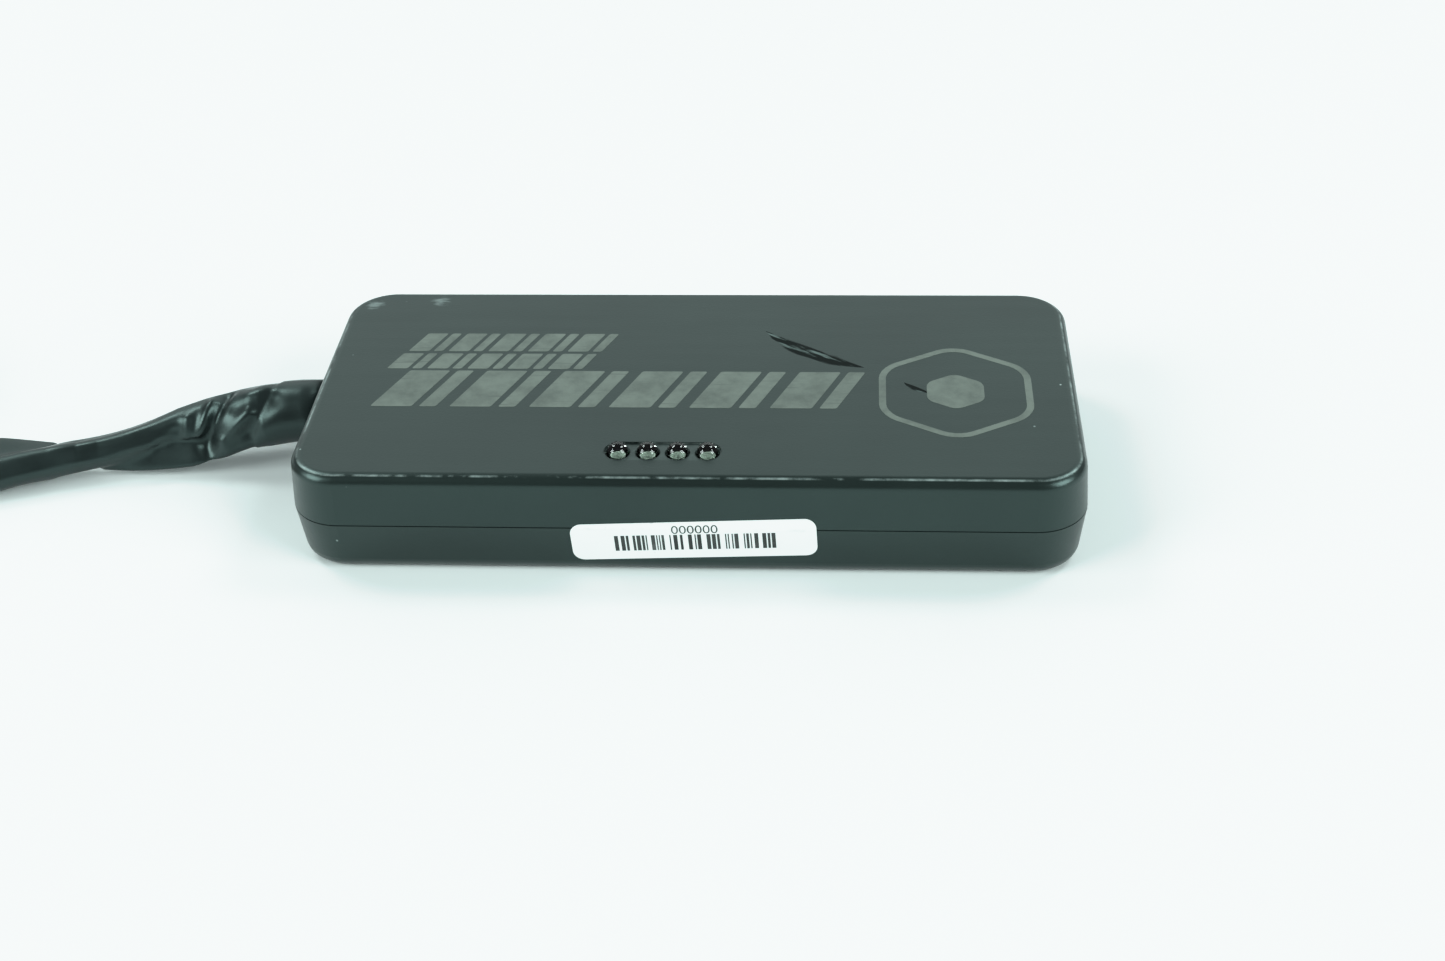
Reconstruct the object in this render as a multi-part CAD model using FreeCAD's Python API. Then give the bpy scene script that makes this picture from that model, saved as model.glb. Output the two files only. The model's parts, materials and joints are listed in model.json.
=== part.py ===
"""Electronic tuning module: a sealed two-shell plastic case on a circuit board, with a sleeved wire harness
that ends in a six-way sealed plug.

Millimetres, +Z up. The origin is at the middle of the case's underside, +X runs along the case away from
the harness, and -Y is the side that carries the stock label.
"""

import FreeCAD
import Part

import math
import os

V = FreeCAD.Vector
UP = V(0, 0, 1)
ALONG = V(1, 0, 0)

# Case
case_length = 104.0
case_width = 49.0
case_height = 15.0
seam_height = 7.7
corner_radius = 7.0
top_inset = 0.5  # how far the walls lean in from the seam to the top
bottom_inset = 0.9  # and from the seam to the underside
top_edge_radius = 1.5
bottom_edge_radius = 2.2
wall = 2.0
roof = 1.8
seam_gap = 0.15
tongue_height = 1.3
tongue_thickness = 0.8
tongue_clearance = 0.1
gasket_height = 0.5

# Case screws
boss_x = 45.5
boss_y = 18.0
boss_radius = 3.0
screw_shank_radius = 1.2
screw_head_radius = 2.3
screw_head_height = 1.6
screw_length = 10.0
counterbore_radius = 2.6
counterbore_depth = 2.4

# Indicator lamps
lamp_count = 4
lamp_pitch = 3.88
lamp_row_x = -2.85
lamp_row_y = -17.45
lamp_radius = 1.45
lamp_flange_radius = 1.6
lamp_flange_height = 0.9
lamp_height = 5.3
lamp_lead_pitch = 2.54
lamp_lead_side = 0.5
recess_length = 15.3
recess_width = 4.2
recess_depth = 0.25
lamp_hole_radius = 1.5
lamp_hole_chamfer = 0.15

# Circuit board
board_x_min = -37.0
board_x_max = 41.5
board_width = 43.0
board_thickness = 1.6
board_bottom = 4.4
post_radius = 2.5
post_x = (-33.0, 38.0)
post_y = 18.5

# Label
label_length = 31.75
label_height = 6.0
label_corner = 1.5
label_thickness = 0.1
label_centre = (1.3, 5.85)
label_tilt = 2.3  # degrees

# Harness
exit_y = 3.2
exit_z = seam_height
grommet_hole_radius = 4.8
grommet_bore_radius = 4.15
entry_sleeve_radius = 4.1
entry_sleeve_inner_x = -46.0
entry_sleeve_outer_x = -55.0
sleeve_diameter = 7.0
sleeve_radius = sleeve_diameter / 2
wire_radius = 0.8
wire_count = 6

# The sleeve's route from the case to the hank.
sleeve_route = [
    (-55.0, 3.2, 7.7),
    (-62.0, 3.2, 7.7),
    (-71.5, 1.4, 5.6),
    (-82.0, -1.7, 3.8),
    (-97.0, -4.4, 3.5),
    (-112.0, -9.8, 3.5),
    (-123.8, -19.1, 3.5),
]

# The hank lies flat: the sleeve winds inwards round two straight runs joined by half-round folds.
# Two strands lie side by side, but only the outer one on the back run past the start of the tail.
hank_centre = (-181.0, 3.0)
hank_half_run = 40.0
hank_outer_radius = 28.0
hank_inner_radius = 21.0
hank_edge_radius = 3.2

# The sleeve's route from the hank's inner strand to the plug, which lies inside the hank.
tail_route = [
    (-228.6, 22.5, 3.5),
    (-217.6, 23.5, 3.5),
    (-205.4, 19.0, 3.5),
    (-195.6, 9.2, 3.5),
    (-184.0, 3.0, 3.5),
    (-171.6, 3.0, 3.5),
]
end_sleeve_length = 6.0

# Plug, measured from its rear face along +X
plug_rear = V(-158.5, 3.0, 6.6)
plug_body_length = 14.0
plug_body_width = 18.0
plug_body_height = 13.2
plug_nose_length = 14.0
plug_nose_width = 15.0
plug_nose_height = 9.6
plug_columns = 3
plug_rows = 2
plug_column_pitch = 4.2
plug_row_pitch = 4.4
cavity_radius = 1.2
latch_pivot_x = 9.0
latch_pivot_z = 8.6
latch_width = 6.0
latch_thickness = 1.3
latch_trunnion_radius = 0.8
running_clearance = 0.05


def rounded_rectangle(length, width, radius, z=0.0, cx=0.0, cy=0.0):
    """A closed wire in a level plane: four straight sides joined by quarter arcs."""
    half_l, half_w = length / 2, width / 2
    quarters = [
        (half_l - radius, half_w - radius, 0),
        (-half_l + radius, half_w - radius, 90),
        (-half_l + radius, -half_w + radius, 180),
        (half_l - radius, -half_w + radius, 270),
    ]
    arcs = []
    for x, y, start in quarters:
        points = []
        for turn in (0, 45, 90):
            angle = math.radians(start + turn)
            points.append(V(cx + x + radius * math.cos(angle), cy + y + radius * math.sin(angle), z))
        arcs.append(points)
    edges = []
    for i, points in enumerate(arcs):
        edges.append(Part.Arc(*points).toShape())
        edges.append(Part.LineSegment(points[2], arcs[(i + 1) % 4][0]).toShape())
    return Part.Wire(edges)


def rounded_block(length, width, radius, z_low, z_high, cx=0.0, cy=0.0):
    face = Part.Face(rounded_rectangle(length, width, radius, z_low, cx, cy))
    return face.extrude(V(0, 0, z_high - z_low))


def box(x, y, z):
    """A block from its low and high values along each axis."""
    return Part.makeBox(x[1] - x[0], y[1] - y[0], z[1] - z[0], V(x[0], y[0], z[0]))


def cylinder(radius, start, direction, length):
    return Part.makeCylinder(radius, length, start, direction)


def level_edges(shape, z):
    return [e for e in shape.Edges if abs(e.BoundBox.ZMin - z) < 1e-4 and abs(e.BoundBox.ZMax - z) < 1e-4]


def edges_along(shape, direction):
    """The straight edges that run along a direction."""
    found = []
    for edge in shape.Edges:
        if isinstance(edge.Curve, Part.Line) and abs(edge.tangentAt(edge.FirstParameter).dot(direction)) > 0.999:
            found.append(edge)
    return found


def case_section(z, shrink=0.0):
    """The case's outline at a height: widest at the seam, with both shells leaning in from it."""
    if z >= seam_height:
        inset = top_inset * (z - seam_height) / (case_height - seam_height)
    else:
        inset = bottom_inset * (seam_height - z) / seam_height
    inset += shrink
    return rounded_rectangle(case_length - 2 * inset, case_width - 2 * inset, corner_radius - inset, z)


def case_block(z_low, z_high, shrink=0.0):
    return Part.makeLoft([case_section(z_low, shrink), case_section(z_high, shrink)], True, True)


def exit_cylinder(radius, x_from, x_to):
    return cylinder(radius, V(x_from, exit_y, exit_z), ALONG, x_to - x_from)


def boss_places():
    return [(sx * boss_x, sy * boss_y) for sx in (-1, 1) for sy in (-1, 1)]


def post_places():
    return [(x, sy * post_y) for x in post_x for sy in (-1, 1)]


def lamp_base_z():
    """The underside of a lamp whose dome springs from the recess floor."""
    return case_height - recess_depth + lamp_radius - lamp_height


def lamp_places():
    first = lamp_row_x - (lamp_count - 1) / 2 * lamp_pitch
    return [first + i * lamp_pitch for i in range(lamp_count)]


def boss_with_ribs(x, y, z_low, z_high):
    """A screw boss tied to the two nearest walls by thin ribs."""
    rib = 0.6
    reach_x = case_length / 2 - wall
    reach_y = case_width / 2 - wall
    shape = cylinder(boss_radius, V(x, y, z_low), UP, z_high - z_low)
    x_span = sorted((x, math.copysign(reach_x, x)))
    y_span = sorted((y, math.copysign(reach_y, y)))
    shape = shape.fuse(box(x_span, (y - rib, y + rib), (z_low, z_high)))
    return shape.fuse(box((x - rib, x + rib), y_span, (z_low, z_high)))


def top_cover():
    rim = seam_height + seam_gap / 2
    outer = case_block(rim, case_height)
    outer = outer.makeFillet(top_edge_radius, level_edges(outer, case_height))
    shell = outer.cut(case_block(rim - 1, case_height - roof, wall))
    for x, y in boss_places():
        boss = boss_with_ribs(x, y, rim + tongue_height + gasket_height, case_height - roof + 0.2)
        shell = shell.fuse(boss.common(outer))
    rebate_top = seam_height + tongue_height + gasket_height
    rebate = case_block(rim - 1, rebate_top, wall - tongue_thickness - tongue_clearance)
    shell = shell.cut(rebate.cut(case_block(rim - 2, rebate_top + 1, wall + 0.001)))
    for x, y in boss_places():
        pilot_depth = counterbore_depth + screw_length + 0.4
        shell = shell.cut(cylinder(screw_shank_radius + running_clearance, V(x, y, 0), UP, pilot_depth))
    floor_z = case_height - recess_depth
    recess = rounded_block(recess_length, recess_width, recess_width / 2 - 0.01, floor_z, case_height + 1,
                           lamp_row_x, lamp_row_y)
    shell = shell.cut(recess)
    for x in lamp_places():
        shell = shell.cut(cylinder(lamp_hole_radius, V(x, lamp_row_y, 10), UP, case_height - 10))
        bottom = V(x, lamp_row_y, floor_z - lamp_hole_chamfer)
        rim = Part.makeCone(lamp_hole_radius, lamp_hole_radius + lamp_hole_chamfer, lamp_hole_chamfer, bottom, UP)
        shell = shell.cut(rim)
    return shell.cut(exit_cylinder(grommet_hole_radius, -60, -45)).removeSplitter()


def bottom_cover():
    rim = seam_height - seam_gap / 2
    outer = case_block(0, rim)
    outer = outer.makeFillet(bottom_edge_radius, level_edges(outer, 0))
    shell = outer.cut(case_block(roof, rim + 1, wall))
    tongue = case_block(roof, seam_height + tongue_height, wall - tongue_thickness)
    tongue = tongue.cut(case_block(roof - 1, seam_height + tongue_height + 1, wall))
    shell = shell.fuse(tongue.common(box((-60, 60), (-30, 30), (rim - 0.5, 20))))
    for x, y in boss_places():
        boss = boss_with_ribs(x, y, roof - 0.2, rim)
        shell = shell.fuse(boss.common(case_block(0.1, rim, wall / 2)))
    for x, y in post_places():
        shell = shell.fuse(cylinder(post_radius, V(x, y, roof - 0.2), UP, board_bottom - roof + 0.2))
        shell = shell.cut(cylinder(1.05, V(x, y, roof), UP, board_bottom))
    for x, y in boss_places():
        shell = shell.cut(cylinder(counterbore_radius, V(x, y, -1), UP, counterbore_depth + 1))
        shell = shell.cut(cylinder(screw_shank_radius + 0.15, V(x, y, 0), UP, case_height))
    return shell.cut(exit_cylinder(grommet_hole_radius, -60, -45)).removeSplitter()


def case_gasket():
    """A thin silicone strip between the bottom shell's tongue and the top shell's rebate."""
    low = seam_height + tongue_height
    ring = case_block(low, low + gasket_height, wall - tongue_thickness)
    ring = ring.cut(case_block(low - 1, low + gasket_height + 1, wall))
    return ring.cut(exit_cylinder(grommet_hole_radius + 0.1, -60, -45))


def cross_recess(x, y, z, direction, size, depth):
    """The two crossed slots of a screw head, cut downwards from a face."""
    start = V(x, y, z)
    low, high = sorted((0, direction * depth))
    shape = None
    for long_x, long_y in ((size, size / 4), (size / 4, size)):
        bar = box((start.x - long_x / 2, start.x + long_x / 2), (start.y - long_y / 2, start.y + long_y / 2),
                  (start.z + low, start.z + high))
        shape = bar if shape is None else shape.fuse(bar)
    return shape


def case_screws():
    screws = []
    point = 0.8
    for x, y in boss_places():
        head_top = counterbore_depth
        head_low = head_top - screw_head_height
        head = cylinder(screw_head_radius, V(x, y, head_low), UP, screw_head_height)
        head = head.makeFillet(0.5, level_edges(head, head_low))
        shank = cylinder(screw_shank_radius, V(x, y, head_top), UP, screw_length - point)
        tip = Part.makeCone(screw_shank_radius, 0.3, point, V(x, y, head_top + screw_length - point), UP)
        screw = head.fuse([shank, tip]).removeSplitter()
        screws.append(screw.cut(cross_recess(x, y, head_low - 0.01, 1, 2.6, 0.9)))
    return screws


def board_screws():
    screws = []
    board_top = board_bottom + board_thickness
    for x, y in post_places():
        head = cylinder(1.9, V(x, y, board_top), UP, 1.3)
        head = head.makeFillet(0.4, level_edges(head, board_top + 1.3))
        shank = cylinder(1.0, V(x, y, board_top - 3.6), UP, 3.6)
        screw = head.fuse(shank).removeSplitter()
        screws.append(screw.cut(cross_recess(x, y, board_top + 1.31, -1, 2.0, 0.7)))
    return screws


def circuit_board():
    length = board_x_max - board_x_min
    middle = (board_x_max + board_x_min) / 2
    board = rounded_block(length, board_width, 1.5, board_bottom, board_bottom + board_thickness, middle)
    for x, y in post_places():
        board = board.cut(cylinder(1.15, V(x, y, 0), UP, case_height))
    for x in lamp_places():
        for side in (-1, 1):
            hole = cylinder(0.45, V(x, lamp_row_y + side * lamp_lead_pitch / 2, 0), UP, case_height)
            board = board.cut(hole)
    return board


def lamp(x):
    """A 3 mm lamp: a clear body on a flange, whose dome stands out of the recess."""
    base_z = lamp_base_z()
    dome_z = base_z + lamp_height - lamp_radius
    body = cylinder(lamp_radius, V(x, lamp_row_y, base_z), UP, dome_z - base_z)
    body = body.fuse(Part.makeSphere(lamp_radius, V(x, lamp_row_y, dome_z)))
    flange = cylinder(lamp_flange_radius, V(x, lamp_row_y, base_z), UP, lamp_flange_height)
    body = body.fuse(flange).removeSplitter()
    for frame in lamp_frame(x):
        body = body.cut(frame)
    return body


def lamp_frame(x):
    """A lamp's two leads: one ends in the cup that holds the die, and the other in a plain post.
    Both legs are spread to the board's hole pitch and come together inside the lens."""
    base_z = lamp_base_z()
    bottom_z = board_bottom - 0.4
    half = lamp_lead_side / 2
    shoulder = 0.8  # height above the lamp's base at which a leg steps inwards
    frames = []
    for side, inner, rise in ((-1, 0.0, 2.5), (1, 0.85, 2.9)):
        y = lamp_row_y + side * lamp_lead_pitch / 2
        inner_y = lamp_row_y + side * inner
        leg = box((x - half, x + half), (y - half, y + half), (bottom_z, base_z + shoulder))
        y_span = sorted((y - side * half, inner_y - side * half))
        step = box((x - half, x + half), y_span, (base_z + 0.3, base_z + shoulder))
        post = box((x - half, x + half), (inner_y - half, inner_y + half), (base_z + 0.3, base_z + rise))
        frames.append(leg.fuse([step, post]).removeSplitter())
    cup = V(x, lamp_row_y, base_z + 2.4)
    cone = Part.makeCone(0.3, 0.56, 0.6, cup, UP)
    cone = cone.cut(Part.makeCone(0.22, 0.46, 0.4, cup + UP * 0.21, UP))
    frames[0] = frames[0].fuse(cone).removeSplitter()
    return frames


def on_board(length, width, height, x, y, lift=0.0, edge=0.0):
    """A block lying on the board, with its upright edges rounded if edge is given."""
    z = board_bottom + board_thickness + lift
    block = box((x - length / 2, x + length / 2), (y - width / 2, y + width / 2), (z, z + height))
    if edge:
        block = block.makeFillet(edge, edges_along(block, UP))
    return block


processor_place = (12.0, -3.0)
processor_side = 10.0


def processor():
    x, y = processor_place
    body = on_board(processor_side, processor_side, 1.4, x, y, 0.1)
    dot = cylinder(0.5, V(x - 3.8, y + 3.8, board_bottom + board_thickness + 1.4), UP, 1)
    return body.cut(dot)


def processor_pins():
    """Eleven bent pins on each side of the processor."""
    x, y = processor_place
    z = board_bottom + board_thickness
    half = processor_side / 2
    pins = []
    profile = [
        V(half, 0, z + 0.75),
        V(half + 0.45, 0, z + 0.75),
        V(half + 0.6, 0, z + 0.15),
        V(half + 1.1, 0, z + 0.15),
        V(half + 1.1, 0, z),
        V(half + 0.45, 0, z),
        V(half + 0.3, 0, z + 0.6),
        V(half, 0, z + 0.6),
        V(half, 0, z + 0.75),
    ]
    face = Part.Face(Part.makePolygon(profile))
    for quarter in range(4):
        for i in range(11):
            pin = face.extrude(V(0, 0.35, 0))
            pin.translate(V(0, (i - 5) * 0.8 - 0.175, 0))
            pin.rotate(V(0, 0, 0), UP, 90 * quarter)
            pin.translate(V(x, y, 0))
            pins.append(pin)
    return pins


def crystal():
    can = on_board(11.0, 4.4, 3.4, 12.0, 11.0, 0.2)
    return can.makeFillet(2.0, edges_along(can, UP))


def filter_capacitor(x, y):
    base = on_board(6.6, 6.6, 0.8, x, y)
    can = cylinder(3.15, V(x, y, board_bottom + board_thickness + 0.8), UP, 5.0)
    can = can.makeFillet(0.3, level_edges(can, board_bottom + board_thickness + 5.8))
    return base.fuse(can).removeSplitter()


def power_package(x, y):
    """A three-lead power package with its metal tab, facing the board's right edge."""
    body = on_board(6.2, 6.6, 2.2, x, y, 0.1)
    tab = on_board(1.8, 5.2, 0.5, x + 4.0, y)
    return body, tab


driver_places = [(31.0, y) for y in (-11.4, -3.8, 3.8, 11.4)]
regulator_place = (-22.0, 13.0)


def surge_diode():
    return on_board(6.9, 5.9, 2.2, -22.0, -12.5, 0.1, 0.3)


def chip_parts(places, length, width, height):
    return [on_board(length, width, height, x, y) for x, y in places]


resistor_places = [(x, y) for x in (-10.0, -6.5, -3.0, 0.5) for y in (-8.0, -3.0, 2.0, 7.0)]
chip_capacitor_places = [(x, y) for x in (21.5, 4.0) for y in (-13.5, -9.5, 6.0, 14.5)]


def tube(points, radius):
    """A round tube along straight runs joined by tangent arcs, each as large as its two runs allow.
    Returns the solid, the arcs' radii and the path's length."""
    points = [V(*p) for p in points]
    edges, radii = [], []
    at = points[0]
    for before, corner, after in zip(points, points[1:], points[2:]):
        back, ahead = before - corner, after - corner
        shorter = min(back.Length, ahead.Length)
        back.normalize()
        ahead.normalize()
        turn = math.pi - back.getAngle(ahead)
        cut = 0.45 * shorter
        radius_of_arc = cut / math.tan(turn / 2)
        start, end = corner + back * cut, corner + ahead * cut
        inward = back + ahead
        inward.normalize()
        middle = corner + inward * (radius_of_arc / math.cos(turn / 2) - radius_of_arc)
        edges.append(Part.LineSegment(at, start).toShape())
        edges.append(Part.Arc(start, middle, end).toShape())
        radii.append(round(radius_of_arc, 1))
        at = end
    edges.append(Part.LineSegment(at, points[-1]).toShape())
    path = Part.Wire(edges)
    profile = Part.Wire(Part.Circle(points[0], points[1] - points[0], radius).toShape())
    return path.makePipeShell([profile], True, False), radii, path.Length


def report_tube(name, solid, radii, length, radius):
    share = solid.Volume / (math.pi * radius ** 2 * length)
    print(f"{name}: length {length:.1f} mm, volume share {share:.4f}, radii {radii}")


def wire_slot(i):
    """Column and row of a wire, counted from the middle of the two rows of three."""
    return i % plug_columns - (plug_columns - 1) / 2, i // plug_columns - (plug_rows - 1) / 2


def board_wires():
    """The wires from the entry sleeve's inner end down to a row of pads on the board."""
    wires = []
    pad_pitch = 2.6
    board_top = board_bottom + board_thickness
    for i in range(wire_count):
        column, row = wire_slot(i)
        y, z = exit_y + 1.75 * column, exit_z + 1.75 * row
        order = 2 * (column + 1) + (row + 0.5)
        pad_y = exit_y + (order - 2.5) * pad_pitch
        rise = board_top + 3.0 + 0.9 * (row + 0.5)
        route = [
            (entry_sleeve_inner_x, y, z),
            (entry_sleeve_inner_x + 3.0, y, z),
            (-37.0, pad_y, rise),
            (-34.0, pad_y, board_top + 2.2),
            (-34.0, pad_y, board_top),
        ]
        wires.append(tube(route, wire_radius)[0])
    return wires


def cable_grommet():
    """A rubber bush, flush with the outside of the end wall, where half of it sits in each shell."""
    outside = -case_length / 2 + 0.3
    inside = -case_length / 2 + wall + 0.65
    neck = exit_cylinder(grommet_hole_radius - running_clearance, outside, inside)
    inner_lip = exit_cylinder(5.2, inside, inside + 0.8)
    bush = neck.fuse(inner_lip).removeSplitter()
    return bush.cut(exit_cylinder(grommet_bore_radius, -60, -45))


def entry_sleeve():
    """The heat-shrunk start of the sleeve, which passes through the grommet."""
    return exit_cylinder(entry_sleeve_radius, entry_sleeve_outer_x, entry_sleeve_inner_x)


def retaining_tie():
    """A nylon tie round the entry sleeve, which stops it being pulled out past the grommet."""
    x_low = -48.4
    band = exit_cylinder(entry_sleeve_radius + 1.05, x_low, x_low + 2.2)
    band = band.cut(exit_cylinder(entry_sleeve_radius + 0.02, -60, -40))
    head_y = exit_y + entry_sleeve_radius + 0.9
    head = box((x_low - 0.05, x_low + 3.4), (head_y, head_y + 3.4), (exit_z - 2.0, exit_z + 2.0))
    return band.fuse(head).removeSplitter()


def barcode_label():
    """A printed sticker that wraps over the seam: the part of a tilted plate that lies just outside the walls."""
    outline = rounded_rectangle(label_length, label_height, label_corner)
    plate = Part.Face(outline).extrude(V(0, 0, 4))
    plate.rotate(V(0, 0, 0), ALONG, 90)
    plate.rotate(V(0, 0, 0), V(0, 1, 0), -label_tilt)
    plate.translate(V(label_centre[0], -case_width / 2 + 2, label_centre[1]))
    skin = case_block(0, seam_height, -label_thickness).fuse(case_block(seam_height, case_height, -label_thickness))
    skin = skin.cut(case_block(0, seam_height)).cut(case_block(seam_height, case_height))
    return plate.common(skin).removeSplitter()


def racetrack(radius, z):
    """A closed wire round the hank: its two runs and its half-round folds, at a fold radius."""
    cx, cy = hank_centre
    right, left = cx + hank_half_run, cx - hank_half_run
    return Part.Wire([
        Part.Arc(V(right, cy - radius, z), V(right + radius, cy, z), V(right, cy + radius, z)).toShape(),
        Part.LineSegment(V(right, cy + radius, z), V(left, cy + radius, z)).toShape(),
        Part.Arc(V(left, cy + radius, z), V(left - radius, cy, z), V(left, cy - radius, z)).toShape(),
        Part.LineSegment(V(left, cy - radius, z), V(right, cy - radius, z)).toShape(),
    ])


def racetrack_block(radius, z_low, z_high):
    return Part.Face(racetrack(radius, z_low)).extrude(V(0, 0, z_high - z_low))


def harness_hank():
    cx, cy = hank_centre
    top = sleeve_diameter
    ring = racetrack_block(hank_outer_radius + sleeve_radius, 0, top)
    ring = ring.cut(racetrack_block(hank_inner_radius - sleeve_radius, -1, top + 1))
    ring = ring.makeFillet(hank_edge_radius, level_edges(ring, top) + level_edges(ring, 0))
    between = (hank_outer_radius + hank_inner_radius) / 2
    single = box((cx - hank_half_run + 10, cx + hank_half_run), (cy, cy + between), (-1, top + 1))
    return ring.cut(single)


def hank_tie():
    """A nylon tie round both strands of the front run, pulled into the soft sleeve."""
    cx, cy = hank_centre
    thickness = 1.0
    width = 3.6
    y_low = cy - hank_outer_radius - sleeve_radius - 0.4
    y_high = cy - hank_inner_radius + sleeve_radius + 0.4
    top = sleeve_diameter + 0.4
    band = box((cx - width / 2, cx + width / 2), (y_low, y_high), (0, top))
    band = band.makeFillet(3.0, edges_along(band, ALONG))
    hole = box((cx - width, cx + width), (y_low + thickness, y_high - thickness), (thickness, top - thickness))
    hole = hole.makeFillet(2.0, edges_along(hole, ALONG))
    head = box((cx - 3.0, cx + 3.0), (cy - hank_inner_radius - 5.0, cy - hank_inner_radius), (top - 0.6, top + 3.2))
    return band.cut(hole).fuse(head).removeSplitter()


def end_sleeve():
    """The heat-shrunk end of the harness sleeve, from which the wires come out."""
    start = V(*tail_route[-1])
    return Part.makeCone(sleeve_radius, 3.0, end_sleeve_length, start, ALONG)


def plug_wires():
    wires = []
    start = V(*tail_route[-1]) + ALONG * end_sleeve_length
    end_x = plug_rear.x + 5.5
    for i in range(wire_count):
        column, row = wire_slot(i)
        y, z = start.y + 1.75 * column, start.z + 1.75 * row
        plug_y = plug_rear.y + plug_column_pitch * column
        plug_z = plug_rear.z + plug_row_pitch * row
        route = [
            (start.x, y, z),
            (start.x + 1.6, y, z),
            (plug_rear.x - 2.6, plug_y, plug_z),
            (end_x, plug_y, plug_z),
        ]
        wires.append(tube(route, wire_radius)[0])
    return wires


def plug_block(x_low, x_high, width, height, edge):
    """A block round the plug's axis, with the edges along it rounded."""
    block = box((x_low, x_high), (-width / 2, width / 2), (-height / 2, height / 2))
    return block.makeFillet(edge, edges_along(block, ALONG))


def plug_cavities(x_low, x_high, radius):
    holes = []
    for i in range(plug_columns * plug_rows):
        column, row = wire_slot(i)
        start = V(x_low, plug_column_pitch * column, plug_row_pitch * row)
        holes.append(cylinder(radius, start, ALONG, x_high - x_low))
    return holes


rear_pocket = (13.6, 9.0, 5.0)  # width, height and depth of the seal's pocket


def plug_housing():
    end = plug_body_length + plug_nose_length
    body = plug_block(0, plug_body_length, plug_body_width, plug_body_height, 2.0)
    nose = plug_block(plug_body_length - 0.5, end, plug_nose_width, plug_nose_height, 1.6)
    housing = body.fuse(nose)
    for side in (-1, 1):
        low, high = sorted((side * (latch_width / 2 + 0.4), side * (latch_width / 2 + 1.9)))
        ear = box((latch_pivot_x - 1.8, latch_pivot_x + 1.8), (low, high), (plug_body_height / 2 - 0.5, latch_pivot_z + 1.6))
        top_edges = [e for e in edges_along(ear, V(0, 1, 0)) if e.BoundBox.ZMin > latch_pivot_z]
        housing = housing.fuse(ear.makeFillet(1.2, top_edges))
    grip = 0.5
    for i in range(4):
        x = 1.6 + 1.6 * i
        for side in (-1, 1):
            low, high = sorted((side * (plug_body_width / 2 - 0.3), side * (plug_body_width / 2 + grip)))
            housing = housing.fuse(box((x, x + 0.8), (low, high), (-4.2, 4.2)))
    width, height, depth = rear_pocket
    housing = housing.cut(plug_block(-1, depth, width, height, 1.2))
    for hole in plug_cavities(depth - 0.5, end + 1, cavity_radius):
        housing = housing.cut(hole)
    housing = housing.cut(box((end - 5.0, end + 1), (-plug_nose_width / 2 + 1.4, plug_nose_width / 2 - 1.4), (-0.6, 0.6)))
    trunnion = cylinder(latch_trunnion_radius + running_clearance,
                        V(latch_pivot_x, -latch_width, latch_pivot_z), V(0, 1, 0), 2 * latch_width)
    return housing.cut(trunnion).removeSplitter()


def plug_face_seal():
    """The ribbed silicone ring round the nose, against the body's shoulder."""
    base = plug_block(plug_body_length, plug_body_length + 3.4, plug_nose_width + 1.0, plug_nose_height + 1.0, 1.9)
    ring = base
    for x in (0.4, 1.9):
        start = plug_body_length + x
        ring = ring.fuse(plug_block(start, start + 0.9, plug_nose_width + 1.9, plug_nose_height + 1.9, 2.2))
    hole = plug_block(plug_body_length - 1, plug_body_length + 5, plug_nose_width + 0.02, plug_nose_height + 0.02, 1.6)
    return ring.cut(hole).removeSplitter()


def plug_wire_seal():
    width, height, depth = rear_pocket
    seal = plug_block(1.4, depth, width - 0.1, height - 0.1, 1.1)
    for hole in plug_cavities(0, depth + 1, wire_radius + 0.01):
        seal = seal.cut(hole)
    return seal


def plug_rear_cap():
    width, height, _ = rear_pocket
    cap = plug_block(0, 1.4, width - 0.1, height - 0.1, 1.1)
    cap = cap.fuse(plug_block(-1.0, 0, width + 1.6, height + 1.6, 1.8))
    for hole in plug_cavities(-2, 3, wire_radius + 0.3):
        cap = cap.cut(hole)
    return cap.removeSplitter()


def plug_wedge_lock():
    """The coloured front lock: a pierced plate with a blade between the two rows of cavities."""
    end = plug_body_length + plug_nose_length
    plate = plug_block(end, end + 1.2, plug_nose_width - 1.4, plug_nose_height - 1.0, 1.0)
    blade = box((end - 4.0, end + 0.5), (-plug_nose_width / 2 + 1.6, plug_nose_width / 2 - 1.6), (-0.5, 0.5))
    lock = plate.fuse(blade).removeSplitter()
    for hole in plug_cavities(end - 1, end + 2, cavity_radius - 0.3):
        lock = lock.cut(hole)
    return lock


def plug_terminals():
    """Six socket terminals, each a square box with a pierced front and a crimp barrel behind it."""
    terminals = []
    end = plug_body_length + plug_nose_length
    side = 0.75
    for i in range(plug_columns * plug_rows):
        column, row = wire_slot(i)
        y, z = plug_column_pitch * column, plug_row_pitch * row
        contact = box((end - 9.0, end - 0.6), (y - side, y + side), (z - side, z + side))
        contact = contact.cut(box((end - 6.0, end), (y - 0.45, y + 0.45), (z - 0.45, z + 0.45)))
        barrel = cylinder(0.7, V(5.6, y, z), ALONG, end - 9.0 - 5.6)
        terminals.append(contact.fuse(barrel).removeSplitter())
    return terminals


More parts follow.
